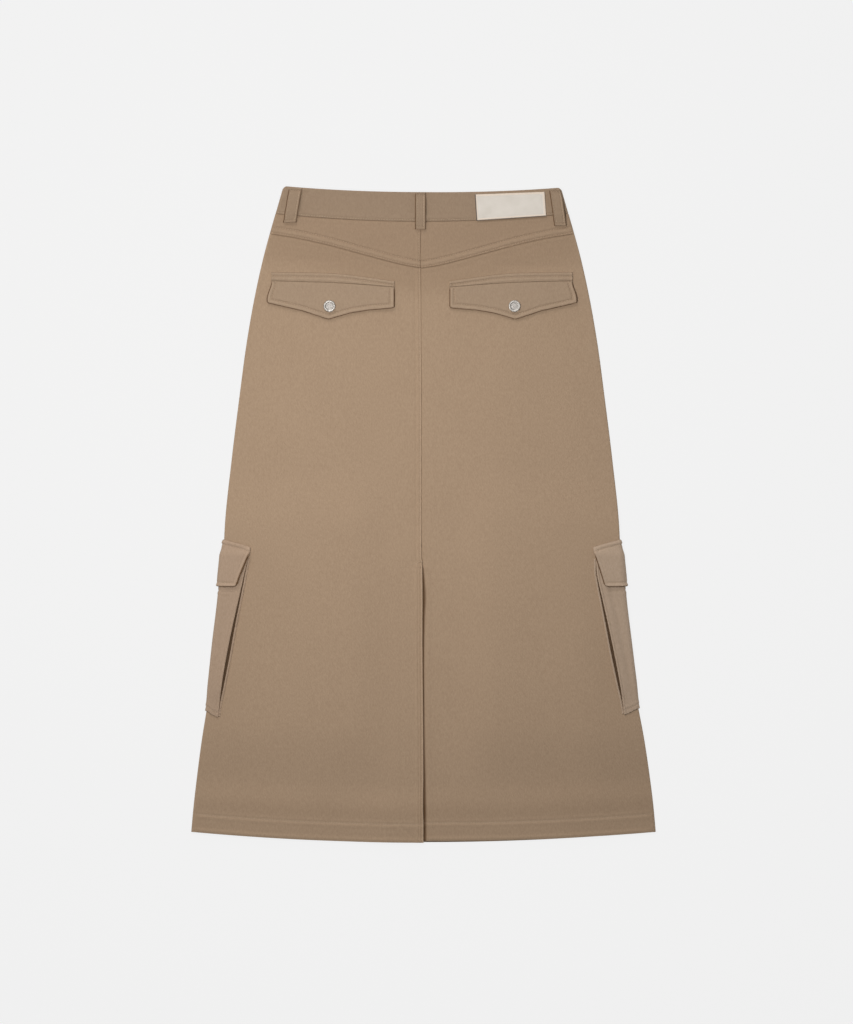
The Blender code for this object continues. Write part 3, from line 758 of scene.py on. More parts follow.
def right_relief(around, y):
    """The right panel: tucked under along the seam, and sunk beside the vent's lapped edge."""
    outside = around * reach(y) - lean(y)
    vent = 1 - ease(y, VENT_TOP_Y - 0.006, VENT_TOP_Y + 0.006)
    seam = -0.00035 * (1 - ease(outside, 0.0, 0.0022))
    wide = follow(VENT_HOLLOW[:, 0], VENT_HOLLOW[:, 1], y)
    hollow = (1 - ease(outside, wide * 0.55, wide * 1.15)) * ease(outside, -0.012, -0.003)
    sunk = 0.00060 * bell(outside - wide - 0.0035, 0.0028) - HOLLOW_DEPTH * hollow
    return seam * (1 - vent) + sunk * vent


def hollow_shade(around, y):
    """How dark the hollow beside the lapped edge is."""
    outside = around * reach(y) - lean(y)
    wide = follow(VENT_HOLLOW[:, 0], VENT_HOLLOW[:, 1], y)
    open_here = 1 - ease(y, VENT_TOP_Y - 0.004, VENT_TOP_Y)
    shallower = 1 - 0.35 * bell(y + 0.2600, 0.040)
    return crevice(outside, wide * 1.05, HOLLOW_SHADE) * open_here * shallower


near_seam = graded(0.012, 0.0002, 0.0007)
beside_seam = np.linspace(0.012, 0.034, 13)[1:]
fixed_across = np.concatenate([near_seam, beside_seam])
share_columns = np.linspace(0, 1, 84)[1:]
fold_columns = np.linspace(1.0, SIDE_SEAM - SIDE_SEAM_STEP, 10)[1:]
fine_top = graded(0.011, 0.0002, 0.0009)
fine_hem = graded(0.030, 0.0002, 0.0009)
USUAL_REACH = 0.2100  # about half a back panel's width, for a first guess at its columns
BACK_ROWS = (104, 92)  # above and below the vent's top


def back_grid(side):
    """Places down one back panel: upright columns by the seam, then shares of the way out.

    The heights of the yoke seam and the hem depend on where the columns meet them, so the rows
    are laid out again from the columns until they agree.
    """
    near = fixed_across / USUAL_REACH
    line = np.concatenate([near, near[-1] + (1 - near[-1]) * share_columns, fold_columns])
    turns = np.stack([line, line], axis=1)
    for _ in range(3):
        top = yoke_seam(side * turns[:, 0])
        at_foot = side * np.maximum(turns[:, -1], 1e-4)
        ys = panel_rows(at_foot, top, BACK_ROWS, fine_top, fine_hem)
        flat = reach(ys)
        edge = side * lean(ys)
        first = edge[: len(fixed_across)] + SEAM_HALF_GAP + fixed_across[:, None]
        first = first / flat[: len(fixed_across)]
        last = len(fixed_across) + len(share_columns)
        start = (edge + SEAM_HALF_GAP + fixed_across[-1]) / flat
        spread = start[len(fixed_across) : last]
        spread = spread + (1 - spread) * share_columns[:, None]
        folded = np.repeat(fold_columns[:, None], ys.shape[1], axis=1)
        around = side * np.concatenate([first, spread, folded])
        turns = np.abs(around)
    return around, ys


around, ys = back_grid(-1)
raised = vent_raise(np.abs(around) * reach(ys), around, ys)
relief = left_relief(around, ys) + hem_relief(around, ys) + under_yoke(around, ys)
outer = CLOTH / 2 + raised + relief
inner = -CLOTH / 2 - CLOTH * turned_up(around, ys) + raised + np.minimum(relief, 0.0)
back_left, cut_left = panel(
    "back_left_cloth", around, ys, outer, inner, skirt_twill, turned=HEM_DEPTH,
    shade=yoke_shade(around, ys) + hem_shade(around, ys) + lap_shade(around, ys),
)
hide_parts("back_left")


def on_left(around, y):
    """The top of the left panel's cloth."""
    raised = vent_raise(np.abs(around) * reach(y), around, y)
    return CLOTH / 2 + raised + left_relief(around, y) + hem_relief(around, y) + THREAD_SEAT


def from_above(x, y):
    """The place on the back under a point seen from above."""
    return (x - shift(y)) / reach(y)


def stitch_path(points, surface, count=60):
    """Points along a line on the back, given by its corners as seen from above."""
    points = np.asarray(points, float)
    run = np.append(0.0, np.cumsum(np.linalg.norm(np.diff(points, axis=0), axis=1)))
    at = np.linspace(0, run[-1], count)
    x = np.interp(at, run, points[:, 0])
    y = np.interp(at, run, points[:, 1])
    around = from_above(x, y)
    return place(around, y, surface(around, y))


seam_y = np.linspace(YOKE_TIP_Y - 0.002, VENT_TOP_Y + 0.004, 200)
vent_y = np.linspace(VENT_TOP_Y - 0.003, HEM_Y + 0.002, 200)
hem_around = -np.linspace(0.012, SIDE_SEAM - 0.03, 200)
hem_at = hem_edge(hem_around) + HEM_STITCH
angles = np.linspace(0, 2 * math.pi, 40)
seam_around = (lean(seam_y) - SEAM_STITCH) / reach(seam_y)
vent_around = (lean(vent_y) - VENT_STITCH) / reach(vent_y)
ring_points = np.stack([
    RING_CENTRE[0] + RING_SIZE[0] * np.cos(angles),
    RING_CENTRE[1] + RING_SIZE[1] * np.sin(angles),
], axis=1)
left_stitches = stitches("back_left_stitches", [
    place(seam_around, seam_y, on_left(seam_around, seam_y)),
    place(vent_around, vent_y, on_left(vent_around, vent_y)),
    place(hem_around, hem_at, on_left(hem_around, hem_at)),
    stitch_path(BAR, on_left),
    stitch_path(ring_points, on_left),
])

around, ys = back_grid(1)
lap = np.linspace(-1.0, -0.03, 14)
lap_around = (lean(ys[:1]) + lap[:, None] * UNDERLAP) / reach(ys[:1])
around = np.concatenate([lap_around, around])
ys = np.concatenate([np.repeat(ys[:1], len(lap), axis=0), ys])
relief = right_relief(around, ys) + under_yoke(around, ys)
relief = relief + hem_relief(np.maximum(around, 1e-4), ys)
outer = CLOTH / 2 + relief
inner = -CLOTH / 2 - CLOTH * turned_up(around, ys) + np.minimum(relief, 0.0)
vent_row = int(np.argmin(np.abs(ys[0] - VENT_TOP_Y)))
cells = np.ones((ys.shape[0] - 1, ys.shape[1] - 1), bool)
cells[: len(lap), :vent_row] = False
back_right, cut_right = panel(
    "back_right_cloth", around, ys, outer, inner, skirt_twill, present=cells, turned=HEM_DEPTH,
    shade=yoke_shade(around, ys) + hem_shade(around, ys) + hollow_shade(around, ys),
)
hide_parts("back_right")


def on_right(around, y):
    """The top of the right panel's cloth."""
    return CLOTH / 2 + right_relief(around, y) + hem_relief(around, y) + THREAD_SEAT


hem_around = np.linspace(0.012, SIDE_SEAM - 0.03, 200)
hem_at = hem_edge(hem_around) + HEM_STITCH
right_stitches = stitches(
    "back_right_stitches", [place(hem_around, hem_at, on_right(hem_around, hem_at))]
)


# ---------------------------------------------------------------------------------------------
# The two yokes, shaped bands of the same twill that point down at the centre back. Each one's
# lower edge is folded over the panel's and held by two rows of stitching, with a ridge between.

YOKE_STITCHES = (0.0017, 0.0084)  # above the yoke's lower edge
YOKE_LEAN = -0.0018  # how far the yokes' seam lies from the middle
YOKE_REACH = 0.1860  # about half the width at the yokes, to turn metres out into a share
# The yokes take a darker copy of the skirt's twill: painted shade.
yoke_painted_shade_twill = twill("brushed_cotton_twill_yoke_painted_shade", "#977f68", "#af967d")


def yoke_relief(side, around, y):
    above = y - yoke_seam(around)
    below_band = band_seam(around) - y
    inside = -side * (lean(y) - around * reach(y))
    draw = 1 + 0.45 * pucker(around * 0.20 + 0.3)
    felled = (
        0.00026 * (1 - ease(above, 0.0088, 0.0120))
        + 0.00034 * draw * bell(above - 0.0048, 0.0022)
        + 0.00020 * bell(above - 0.0004, 0.0009)
        - 0.00030 * bell(above - YOKE_STITCHES[0], 0.0007)
        - 0.00042 * bell(above - YOKE_STITCHES[1], 0.0010)
        + 0.00014 * draw * bell(above - 0.0112, 0.0018)
    )
    at_seam = -0.00030 * (1 - ease(inside, 0.0, 0.0016))
    if side < 0:
        at_seam = (
            0.00036 * (1 - ease(inside, 0.0030, 0.0062))
            - 0.00030 * bell(inside - SEAM_STITCH, 0.0008)
            - 0.00030 * bell(inside, 0.0006)
        )
    tucked = -0.00020 * bell(below_band, 0.0012) + 0.00018 * draw * bell(below_band - 0.004, 0.002)
    return RIDGE * on_flat(around) * (felled + at_seam + tucked)


def rows_between(top, foot, near_top, near_foot, count):
    """Rows of y between two edges, close together at distances from each."""
    high = top[:, None] - near_top[None, :]
    low = foot[:, None] + near_foot[::-1][None, :]
    share = np.linspace(0, 1, count)[None, 1:-1]
    return np.concatenate([high, high[:, -1:] + (low[:, :1] - high[:, -1:]) * share, low], axis=1)


yoke_near = graded(0.010, 0.0002, 0.0008)
yoke_fell = graded(0.0135, 0.0002, 0.0007)
for side, name in ((-1, "yoke_left"), (1, "yoke_right")):
    edge = side * YOKE_LEAN + SEAM_HALF_GAP
    first = (edge + yoke_near) / YOKE_REACH
    flat_part = first[-1] + (1 - first[-1]) * np.linspace(0, 1, 84)[1:]
    line = side * np.concatenate([first, flat_part, fold_columns])
    top = band_seam(line) - SEAM_HALF_GAP
    foot = yoke_seam(line) + SEAM_HALF_GAP
    ys = rows_between(top, foot, graded(0.004, 0.0002, 0.0007), yoke_fell, 16)
    around = np.repeat(line[:, None], ys.shape[1], axis=1)
    outer = CLOTH / 2 + yoke_relief(side, around, ys)
    inner = np.full(ys.shape, -CLOTH / 2)
    above = ys - yoke_seam(around)
    # Painted shade along the yoke's two rows of stitching, and a painted highlight on the ridge
    # between them.
    shade = 0.11 * sum(bell(above - row, 0.0009) for row in YOKE_STITCHES)
    shade = (shade - 0.10 * bell(above - 0.0048, 0.0020)) * on_flat(around)
    yoke, cut = panel(
        name + "_cloth", around, ys, outer, inner, yoke_painted_shade_twill, rounding=0.00024, turned=0.012,
        shade=shade,
    )
    run = side * np.linspace(0.012, SIDE_SEAM - 0.03, 200)
    lines = []
    for above in YOKE_STITCHES:
        at = yoke_seam(run) + above
        lines.append(place(run, at, CLOTH / 2 + yoke_relief(side, run, at) + THREAD_SEAT))
    if side < 0:
        at = np.linspace(0.338, YOKE_TIP_Y + 0.001, 40)
        seam = (YOKE_LEAN - SEAM_STITCH) / reach(at)
        lines.append(place(seam, at, CLOTH / 2 + yoke_relief(side, seam, at) + THREAD_SEAT))
    rows = stitches(name + "_stitches", lines)
    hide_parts(name)


# ---------------------------------------------------------------------------------------------
# The waistband: one strip for the back and one for each front, folded in two along the top edge
# and pressed flat. Its lower edge is turned under and topstitched close to the seam.

BAND_STITCH = 0.0016  # above the band's lower edge
# The waistband and the belt loops take a darker copy of the skirt's twill: painted shade.
band_painted_shade_twill = twill("brushed_cotton_twill_band_painted_shade", "#927c67", "#a9937c")


def band_relief(around, y):
    above = y - band_seam(around)
    under_top = waist_edge(around) - y
    draw = 1 + 0.5 * pucker(around * 0.18 + 0.7)
    flush = (BAND - CLOTH) / 2 * (1 - on_flat(around)) * np.ones_like(above)
    return -flush + RIDGE * on_flat(around) * (
        0.00030 * draw * bell(above - 0.0046, 0.0024)
        - 0.00022 * bell(above - BAND_STITCH, 0.0008)
        + 0.00015 * bell(above - 0.0002, 0.0008)
        - 0.00012 * bell(under_top - 0.0080, 0.0030)
    )


def band_grid(line):
    top = waist_edge(line)
    foot = band_seam(line) + SEAM_HALF_GAP
    near_foot = graded(0.009, 0.0002, 0.0009)
    ys = rows_between(top, foot, graded(0.004, 0.0002, 0.0009), near_foot, 12)
    return np.repeat(line[:, None], ys.shape[1], axis=1), ys


half_line = np.concatenate([
    np.linspace(0, 0.97, 74),
    np.linspace(0.97, 1, 9)[1:],
    fold_columns,
])
front_line = np.concatenate([
    np.linspace(SIDE_SEAM + SIDE_SEAM_STEP, 2.0, 9),
    np.linspace(2.0, 2.03, 9)[1:],
    np.linspace(2.03, 2.9990, 60)[1:],
])
for name, line, span in (
    ("waistband_back", np.concatenate([-half_line[:0:-1], half_line]), (-1.47, 1.47)),
    ("waistband_front_left", -front_line, (-1.53, -2.99)),
    ("waistband_front_right", front_line, (1.53, 2.99)),
):
    around, ys = band_grid(line)
    outer = BAND / 2 + band_relief(around, ys)
    inner = np.full(ys.shape, -BAND / 2)
    band, cut = panel(name + "_cloth", around, ys, outer, inner, band_painted_shade_twill, rounding=0.0011)
    run = np.linspace(*span, 260)
    at = band_seam(run) + BAND_STITCH
    rows = stitches(
        name + "_stitches", [place(run, at, BAND / 2 + band_relief(run, at) + THREAD_SEAT)]
    )
    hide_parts(name)


# ---------------------------------------------------------------------------------------------
# Five belt loops, strips of twill with both edges turned in and topstitched. Each is folded under
# and tacked at its two ends, and stands a little off the waistband between them.

LOOP_THICKNESS = 0.0018
LOOP_BOW = 0.0022  # how far the middle of a loop stands off the band
LOOP_EDGE_STITCH = 0.0028
LOOP_SHADES = (0.98, 0.70)  # in the gaps along its left and right sides
LOOP_SHADE_WIDTH = 0.0015
LOOP_END_STITCH = 0.0030
LOOPS = (  # name, on the front, middle of its top end, middle of its bottom end, width
    ("belt_loop_back_left", False, (-0.1531, 0.3905), (-0.1600, 0.3493), 0.0158),
    ("belt_loop_back_centre", False, (-0.0037, 0.3857), (-0.0037, 0.3414), 0.0130),
    ("belt_loop_back_right", False, (0.1576, 0.3892), (0.1638, 0.3455), 0.0148),
    ("belt_loop_front_left", True, (-0.0950, 0.3870), (-0.0970, 0.3440), 0.0135),
    ("belt_loop_front_right", True, (0.0914, 0.3870), (0.0934, 0.3440), 0.0135),
)
for name, front, top, bottom, width in LOOPS:
    length = math.dist(top, bottom)
    near_side = graded(width / 2, 0.0002, 0.0006)
    aside = np.concatenate([near_side, width - near_side[:-1][::-1]]) - width / 2
    down = both_ends(length, graded(0.006, 0.0002, 0.0006), 30)
    share = down / length
    bow = LOOP_BOW * (1 - front * 0.7) * ease(share, 0.08, 0.30) * (1 - ease(share, 0.66, 0.92))

    def loop_relief(aside, down, length=length, width=width):
        to_side = width / 2 - np.abs(aside)
        to_end = np.minimum(down, length - down)
        return RIDGE * (
            0.00028 * bell(to_side - 0.0018, 0.0010)
            - 0.00030 * bell(to_side - LOOP_EDGE_STITCH, 0.0006)
            - 0.00045 * bell(to_end - LOOP_END_STITCH, 0.0007)
            + 0.00022 * bell(to_end - 0.0012, 0.0009)
        )

    def loop_place(aside, down, offset, front=front, top=top, bottom=bottom, length=length):
        share = down / length
        x = top[0] + (bottom[0] - top[0]) * share + aside
        y = top[1] + (bottom[1] - top[1]) * share
        around = from_above(x, y)
        around = np.copysign(3 - np.abs(around), around) if front else around
        return around, y, offset

    grid_aside, grid_down = np.meshgrid(aside, down, indexing="ij")
    around, ys, _ = loop_place(grid_aside, grid_down, 0)
    seat = BAND / 2 + GAP + bow[None, :] + np.zeros_like(ys)
    outer = seat + LOOP_THICKNESS + loop_relief(grid_aside, grid_down)
    to_side = width / 2 - np.abs(grid_aside)
    # Painted shade in the gaps along its sides and at its lower end, and a painted highlight along
    # each turned edge.
    left_dark = crevice(grid_aside + width / 2, LOOP_SHADE_WIDTH, LOOP_SHADES[0])
    right_dark = crevice(width / 2 - grid_aside, LOOP_SHADE_WIDTH, LOOP_SHADES[1])
    shade = np.maximum(left_dark, right_dark) * ease(grid_down, 0.0, 0.004)
    shade = np.maximum(shade, crevice(length - grid_down, 0.0008, 0.20))
    shade = shade - 0.10 * bell(to_side - 0.0022, 0.0010)
    loop, cut = panel(
        name + "_cloth", around, ys, outer, seat, band_painted_shade_twill, rounding=0.0009, shade=shade
    )
    lines = []
    for edge in (-1, 1):
        at = np.linspace(0.002, length - 0.002, 60)
        beside = np.full(60, edge * (width / 2 - LOOP_EDGE_STITCH))
        high = np.interp(at, down, bow) + BAND / 2 + GAP + LOOP_THICKNESS + THREAD * 0.3
        lines.append(place(*loop_place(beside, at, high + loop_relief(beside, at))))
    for at in (LOOP_END_STITCH, length - LOOP_END_STITCH):
        beside = np.linspace(-width / 2 + 0.001, width / 2 - 0.001, 20)
        at = np.full(20, at)
        high = np.full(20, BAND / 2 + GAP + LOOP_THICKNESS + THREAD * 0.3)
        lines.append(place(*loop_place(beside, at, high + loop_relief(beside, at))))
    rows = stitches(name + "_stitches", lines)
    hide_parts(name)


# ---------------------------------------------------------------------------------------------
# The patch on the back waistband: a blank rectangle of cream, finished split leather, sewn flat
# at its four corners. Its cut edge is paler, and a line is pressed in along it.

PATCH_LEFT = (0.0624, 0.3829, 0.3514)  # x, top and bottom of its left end
PATCH_RIGHT = (0.1458, 0.3860, 0.3570)
PATCH_THICKNESS = 0.0011
PATCH_SLANT = 0.0020  # how far its lower edge lies to the right of its upper edge
PRESSED_LINE = 0.0034  # in from the edge
PALE_EDGE = 0.0023  # width of the paler edge

# Cream leather: a smooth, slightly waxy coat over a fine pebble about 0.8 mm across.
PEBBLE = 0.0008
leather, shader, spot, _, _ = mottled(
    "cream_leather", 1 / 0.014, 3.0, ((0.30, "#ddd6cb"), (0.72, "#e6dfd5")),
    {"Roughness": 0.55, "IOR": 1.48, "Specular IOR Level": 0.30},
)
tree = leather.node_tree
grain = add_node(
    tree, "ShaderNodeTexVoronoi", {"Scale": 1 / PEBBLE}, {"Vector": spot}
).outputs["Distance"]
pebbled = add_node(
    tree, "ShaderNodeBump", {"Strength": 0.12, "Distance": 0.0003}, {"Height": grain}
).outputs["Normal"]
tree.links.new(pebbled, shader.inputs["Normal"])

patch_width = PATCH_RIGHT[0] - PATCH_LEFT[0]
near = graded(0.006, 0.0002, 0.0006)
along = both_ends(patch_width, near, 40)
share = along / patch_width
top = PATCH_LEFT[1] + (PATCH_RIGHT[1] - PATCH_LEFT[1]) * share
foot = PATCH_LEFT[2] + (PATCH_RIGHT[2] - PATCH_LEFT[2]) * share
ys = rows_between(top, foot, near, near, 14)
slant = PATCH_SLANT * ((ys[:, :1] - ys) / (ys[:, :1] - ys[:, -1:]) - 0.5)
around = from_above(PATCH_LEFT[0] + along[:, None] + slant, ys)
to_end = np.minimum(along, patch_width - along)[:, None]
to_edge = np.minimum(to_end, np.minimum(ys[:, :1] - ys, ys - ys[:, -1:]))
pressed = -0.00022 * bell(to_edge - PRESSED_LINE, 0.0006)
# Painted shade along its left and lower edges.
dark_edge = np.maximum(
    crevice(along[:, None] + 0 * ys, 0.0015, 0.90), crevice(ys - ys[:, -1:], 0.0011, 0.80)
)
seat = BAND / 2 + GAP + 0.0003 * bell(to_end, 0.010)
seat = seat + np.zeros_like(ys)
patch, cut = panel(
    "waist_patch_leather", around, ys, seat + PATCH_THICKNESS + pressed, seat, leather,
    rounding=0.0005, shade=dark_edge,
)

# The edge is paler and warmer. Along its left and lower edges it is darkened with painted shade, as
# in a crease.
pale_leather, shader, _, _, colour = mottled(
    "pale_warm_leather_edge", 1 / 0.0025, 3.0, ((0.0, "#e6d7c6"), (1.0, "#f2e4d4")),
    {"Roughness": 0.80, "IOR": 1.48, "Specular IOR Level": 0.20},
)
tree = pale_leather.node_tree
shade = add_node(tree, "ShaderNodeAttribute", {"attribute_name": "shade"}).outputs["Fac"]
light_left = add_node(
    tree, "ShaderNodeMath", {"operation": "SUBTRACT", 0: 1.0}, {1: shade}
).outputs[0]
toned = add_node(
    tree, "ShaderNodeVectorMath", {"operation": "SCALE"},
    {0: colour, "Scale": light_left},
).outputs[0]
tree.links.new(toned, shader.inputs["Base Color"])
patch.data.materials.append(pale_leather)
on_edge = (to_edge[:-1, :-1] + to_edge[1:, 1:]) / 2 < PALE_EDGE
face_materials = np.ones(len(patch.data.polygons), int)
face_materials[: on_edge.size] = on_edge.ravel()
patch.data.polygons.foreach_set("material_index", face_materials.tolist())
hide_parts("waist_patch")


# ---------------------------------------------------------------------------------------------
# The back pockets: on each side a welt, and hanging below it a pointed flap of two layers, turned
# out and topstitched along its free edges. A bar tack holds each end of the welt.

# Distance out from the centre, and there the welt's top, the crease and the flap's lower edge.
BACK_FLAP = np.array([
    (0.0328, 0.2799, 0.2726, 0.2492),
    (0.0343, 0.2801, 0.2727, 0.2475),
    (0.0370, 0.2803, 0.2729, 0.2468),
    (0.0640, 0.2842, 0.2750, 0.2446),
    (0.0850, 0.2870, 0.2765, 0.2413),
    (0.1062, 0.2890, 0.2778, 0.2353),
    (0.1092, 0.2891, 0.2779, 0.2342),
    (0.1118, 0.2892, 0.2780, 0.2337),
    (0.1144, 0.2893, 0.2781, 0.2342),
    (0.1175, 0.2894, 0.2782, 0.2352),
    (0.1430, 0.2898, 0.2789, 0.2437),
    (0.1700, 0.2901, 0.2795, 0.2497),
    (0.1825, 0.2903, 0.2797, 0.2527),
    (0.1850, 0.2903, 0.2798, 0.2536),
    (0.1860, 0.2903, 0.2798, 0.2554),
])
FLAP_INNER, FLAP_OUTER = 0.0328, 0.1860
FLAP_FLARE = 0.0063415  # how far the flap would spread beyond the welt at FLARE_END
FLARE_START = 0.1150  # out from the centre
FLARE_END = 0.2060
FLARE_DOWN = 0.0220  # below the crease, where the flap has spread in full
FLAP_SHADE = 0.82
END_SHADES = {-1: (1.0, 0.95), 1: (0.92, 1.0)}  # in the crevice at its inner and outer end
FLAP_STITCH = 0.0056  # in from its free edges
FLAP_SEAT = CLOTH / 2 + GAP
FLAP_THICKNESS = 0.0019
WELT_STITCH = 0.0046  # below the welt's top
WELT_RIDGE = 0.0020
FLAP_LIFTS = {-1: (0.0008, 0.0003), 1: (0.0004, 0.0007)}  # of its inner and its outer end
# The flaps and welts take a darker copy of the skirt's twill: painted shade.
flap_painted_shade_twill = twill("brushed_cotton_twill_flap_painted_shade", "#9b846e", "#b39c84")


def flap_line(out, column):
    return np.interp(out, BACK_FLAP[:, 0], BACK_FLAP[:, column])


def flared(out, down):
    """Where a point of the flap lies: its outer end spreads as it hangs down."""
    share = ease(out, FLARE_START, FLARE_END)
    return out - FLAP_FLARE * share * (1 - ease(down, 0.0, FLARE_DOWN))


near_end = graded(0.012, 0.0002, 0.0007)
flap_out = FLAP_INNER + both_ends(FLAP_OUTER - FLAP_INNER, near_end, 84)
for side, which in ((-1, "left"), (1, "right")):
    inner_lift, outer_lift = FLAP_LIFTS[side]
    inner_shade, outer_shade = END_SHADES[side]

    def flap_top(out, y):
        """The top of a flap's cloth: it stands off the panel towards its free edges."""
        to_end = np.minimum(out - FLAP_INNER, FLAP_OUTER - out)
        slope = np.gradient(flap_line(flap_out, 3), flap_out)
        to_edge = (y - flap_line(out, 3)) / np.hypot(1, np.interp(out, flap_out, slope))
        inside = np.minimum(to_end, to_edge)
        down = flap_line(out, 2) - y
        lift = inner_lift * bell(out - FLAP_INNER, 0.016) * ease(down, 0.0, 0.012)
        lift = lift + outer_lift * bell(FLAP_OUTER - out, 0.016) * ease(down, 0.0, 0.012)
        lift = lift + 0.0001 * ease(down, 0.004, 0.026)
        draw = 1 + 0.4 * pucker(out + 0.3 * y)
        free = ease(down, 0.0, 0.004)
        relief = RIDGE * (
            0.00042 * draw * bell(inside - 0.0024, 0.0021)
            - 0.00040 * bell(inside - FLAP_STITCH, 0.0009)
            + 0.00012 * bell(inside - 0.0085, 0.0020)
        ) * free
        # Painted shade in the crevices along its foot and ends and along its stitching, and a
        # painted highlight on the ridge inside its edges.
        dark = crevice(to_edge, 0.0012, FLAP_SHADE)
        dark = np.maximum(dark, crevice(out - FLAP_INNER, 0.0016, inner_shade))
        dark = np.maximum(dark, crevice(FLAP_OUTER - out, 0.0016, outer_shade)) * free
        dark = dark - 0.11 * bell(inside - 0.0030, 0.0020) * free
        dark = dark + 0.13 * bell(inside - FLAP_STITCH, 0.0010) * free
        return FLAP_SEAT + FLAP_THICKNESS + lift + relief, lift, dark

    crease = flap_line(flap_out, 2) - 0.00015
    foot = flap_line(flap_out, 3)
    ys = rows_between(crease, foot, graded(0.004, 0.0002, 0.0008), near_end[near_end < 0.009], 14)
    out = np.repeat(flap_out[:, None], ys.shape[1], axis=1)
    top, lift, dark = flap_top(out, ys)
    around = side * flared(out, ys[:, :1] - ys) / reach(ys)
    flap, cut = panel(
        f"back_flap_{which}_cloth", around, ys, top, FLAP_SEAT + lift, flap_painted_shade_twill,
        rounding=0.0020, shade=dark,
    )
    inset_out = np.linspace(FLAP_INNER + FLAP_STITCH, FLAP_OUTER - FLAP_STITCH, 160)
    inset_y = flap_line(inset_out, 3) + FLAP_STITCH * 1.03
    upright = np.linspace(0.0008, 1, 30)
    path_out = np.concatenate([np.full(30, inset_out[0]), inset_out, np.full(30, inset_out[-1])])
    path_y = np.concatenate([
        flap_line(inset_out[0], 2) + (inset_y[0] - flap_line(inset_out[0], 2)) * upright,
        inset_y,
        inset_y[-1] + (flap_line(inset_out[-1], 2) - inset_y[-1]) * upright,
    ])
    high, _, _ = flap_top(path_out, path_y)
    path_x = flared(path_out, flap_line(path_out, 2) - path_y)
    flap_rows = stitches(
        f"back_flap_{which}_stitches",
        [place(side * path_x / reach(path_y), path_y, high + THREAD_SEAT)],
    )
    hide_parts(f"back_flap_{which}")

    def welt_top(out, y):
        down = flap_line(out, 1) - y
        to_end = np.minimum(out - FLAP_INNER, FLAP_OUTER - out)
        draw = 1 + 0.5 * pucker(out + 0.2)
        return FLAP_SEAT + CLOTH + RIDGE * (
            0.00035 * draw * bell(down - WELT_RIDGE, 0.0015)
            - 0.00040 * bell(down - WELT_STITCH, 0.0009)
            + 0.00045 * draw * bell(down - 0.0076, 0.0020)
            + 0.00030 * bell(to_end - 0.0012, 0.0012)
        )

    def welt_shade(out, y):
        down = flap_line(out, 1) - y
        ridges = bell(down - WELT_RIDGE, 0.0013) + bell(down - 0.0072, 0.0012)
        return 0.12 * bell(down - WELT_STITCH, 0.0009) + crevice(down, 0.0007, 0.20) - 0.08 * ridges

    top = flap_line(flap_out, 1)
    ys = rows_between(top, crease + 0.0003, graded(0.0030, 0.0002, 0.0006),
                      graded(0.0034, 0.0002, 0.0006), 5)
    out = np.repeat(flap_out[:, None], ys.shape[1], axis=1)
    seat = np.full(ys.shape, FLAP_SEAT)
    welt, cut = panel(
        f"back_welt_{which}_cloth", side * flared(out, 0.0) / reach(ys), ys,
        welt_top(out, ys), seat, flap_painted_shade_twill, rounding=0.0008, turned=0.002,
        shade=welt_shade(out, ys),
    )
    run = np.linspace(FLAP_INNER + 0.001, FLAP_OUTER - 0.001, 160)
    at = flap_line(run, 1) - WELT_STITCH
    lines = [
        place(side * flared(run, 0.0) / reach(at), at, welt_top(run, at) + THREAD_SEAT)
    ]
    for end in (FLAP_INNER + 0.0012, FLAP_OUTER - 0.0012):
        for step in (0.0, 0.0007):
            at = np.linspace(flap_line(end, 1) - 0.0005, flap_line(end, 2) + 0.0003, 16)
            run = np.full(16, end + step)
            turn = side * flared(run, 0.0) / reach(at)
            lines.append(place(turn, at, welt_top(run, at) + THREAD * 0.6))
    rows = stitches(f"back_welt_{which}_stitches", lines)
    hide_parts(f"back_welt_{which}")


# ---------------------------------------------------------------------------------------------
# A press snap closes each back flap: a stamped brass cap, nickel plated, crimped through the
# cloth. Its face has a raised rim and plain rings. The snaps stay closed.

SNAP_OUT = 0.1108
SNAP_Y = 0.2495
SNAP_RADIUS = 0.0073
SNAP_HEIGHT = 0.0026
SUNK_SHARE = 0.62  # of a metal piece's radius, inside its bright rim
SNAP_PROFILE = (  # share of its radius, share of its height
    (0.00, 0.76),
    (0.12, 0.75),
    (0.17, 0.71),
    (0.22, 0.70),
    (0.27, 0.74),
    (0.38, 0.75),
    (0.43, 0.71),
    (0.48, 0.69),
    (0.54, 0.69),
    (0.60, 0.72),
    (0.66, 0.86),
    (0.74, 0.96),
    (0.82, 1.00),
    (0.90, 0.90),
    (0.95, 0.74),
    (0.985, 0.52),
    (1.00, 0.30),
    (0.97, 0.06),
    (0.90, 0.00),
    (0.00, 0.00),
)

# Nickel plate over stamped brass: bright and slightly warm, dulled by handling.
nickel, shader, _, tarnish, _ = mottled(
    "nickel_plate", 1 / 0.0018, 4.0, ((0.35, "#a7a39d"), (0.65, "#e0dcd6")), {"Metallic": 1.0}
)
tree = nickel.node_tree
rough = add_node(
    tree, "ShaderNodeMapRange", {"To Min": 0.46, "To Max": 0.58}, {"Value": tarnish}
).outputs["Result"]
tree.links.new(rough, shader.inputs["Roughness"])

# The sunk middle is a duller, darker nickel, with a grainy stamping.
dull_nickel = mottled(
    "dull_nickel_plate", 1 / 0.0012, 3.0, ((0.38, "#a39f9a"), (0.62, "#cbc7c2")),
    {"Metallic": 1.0, "Roughness": 0.62},
)[0]


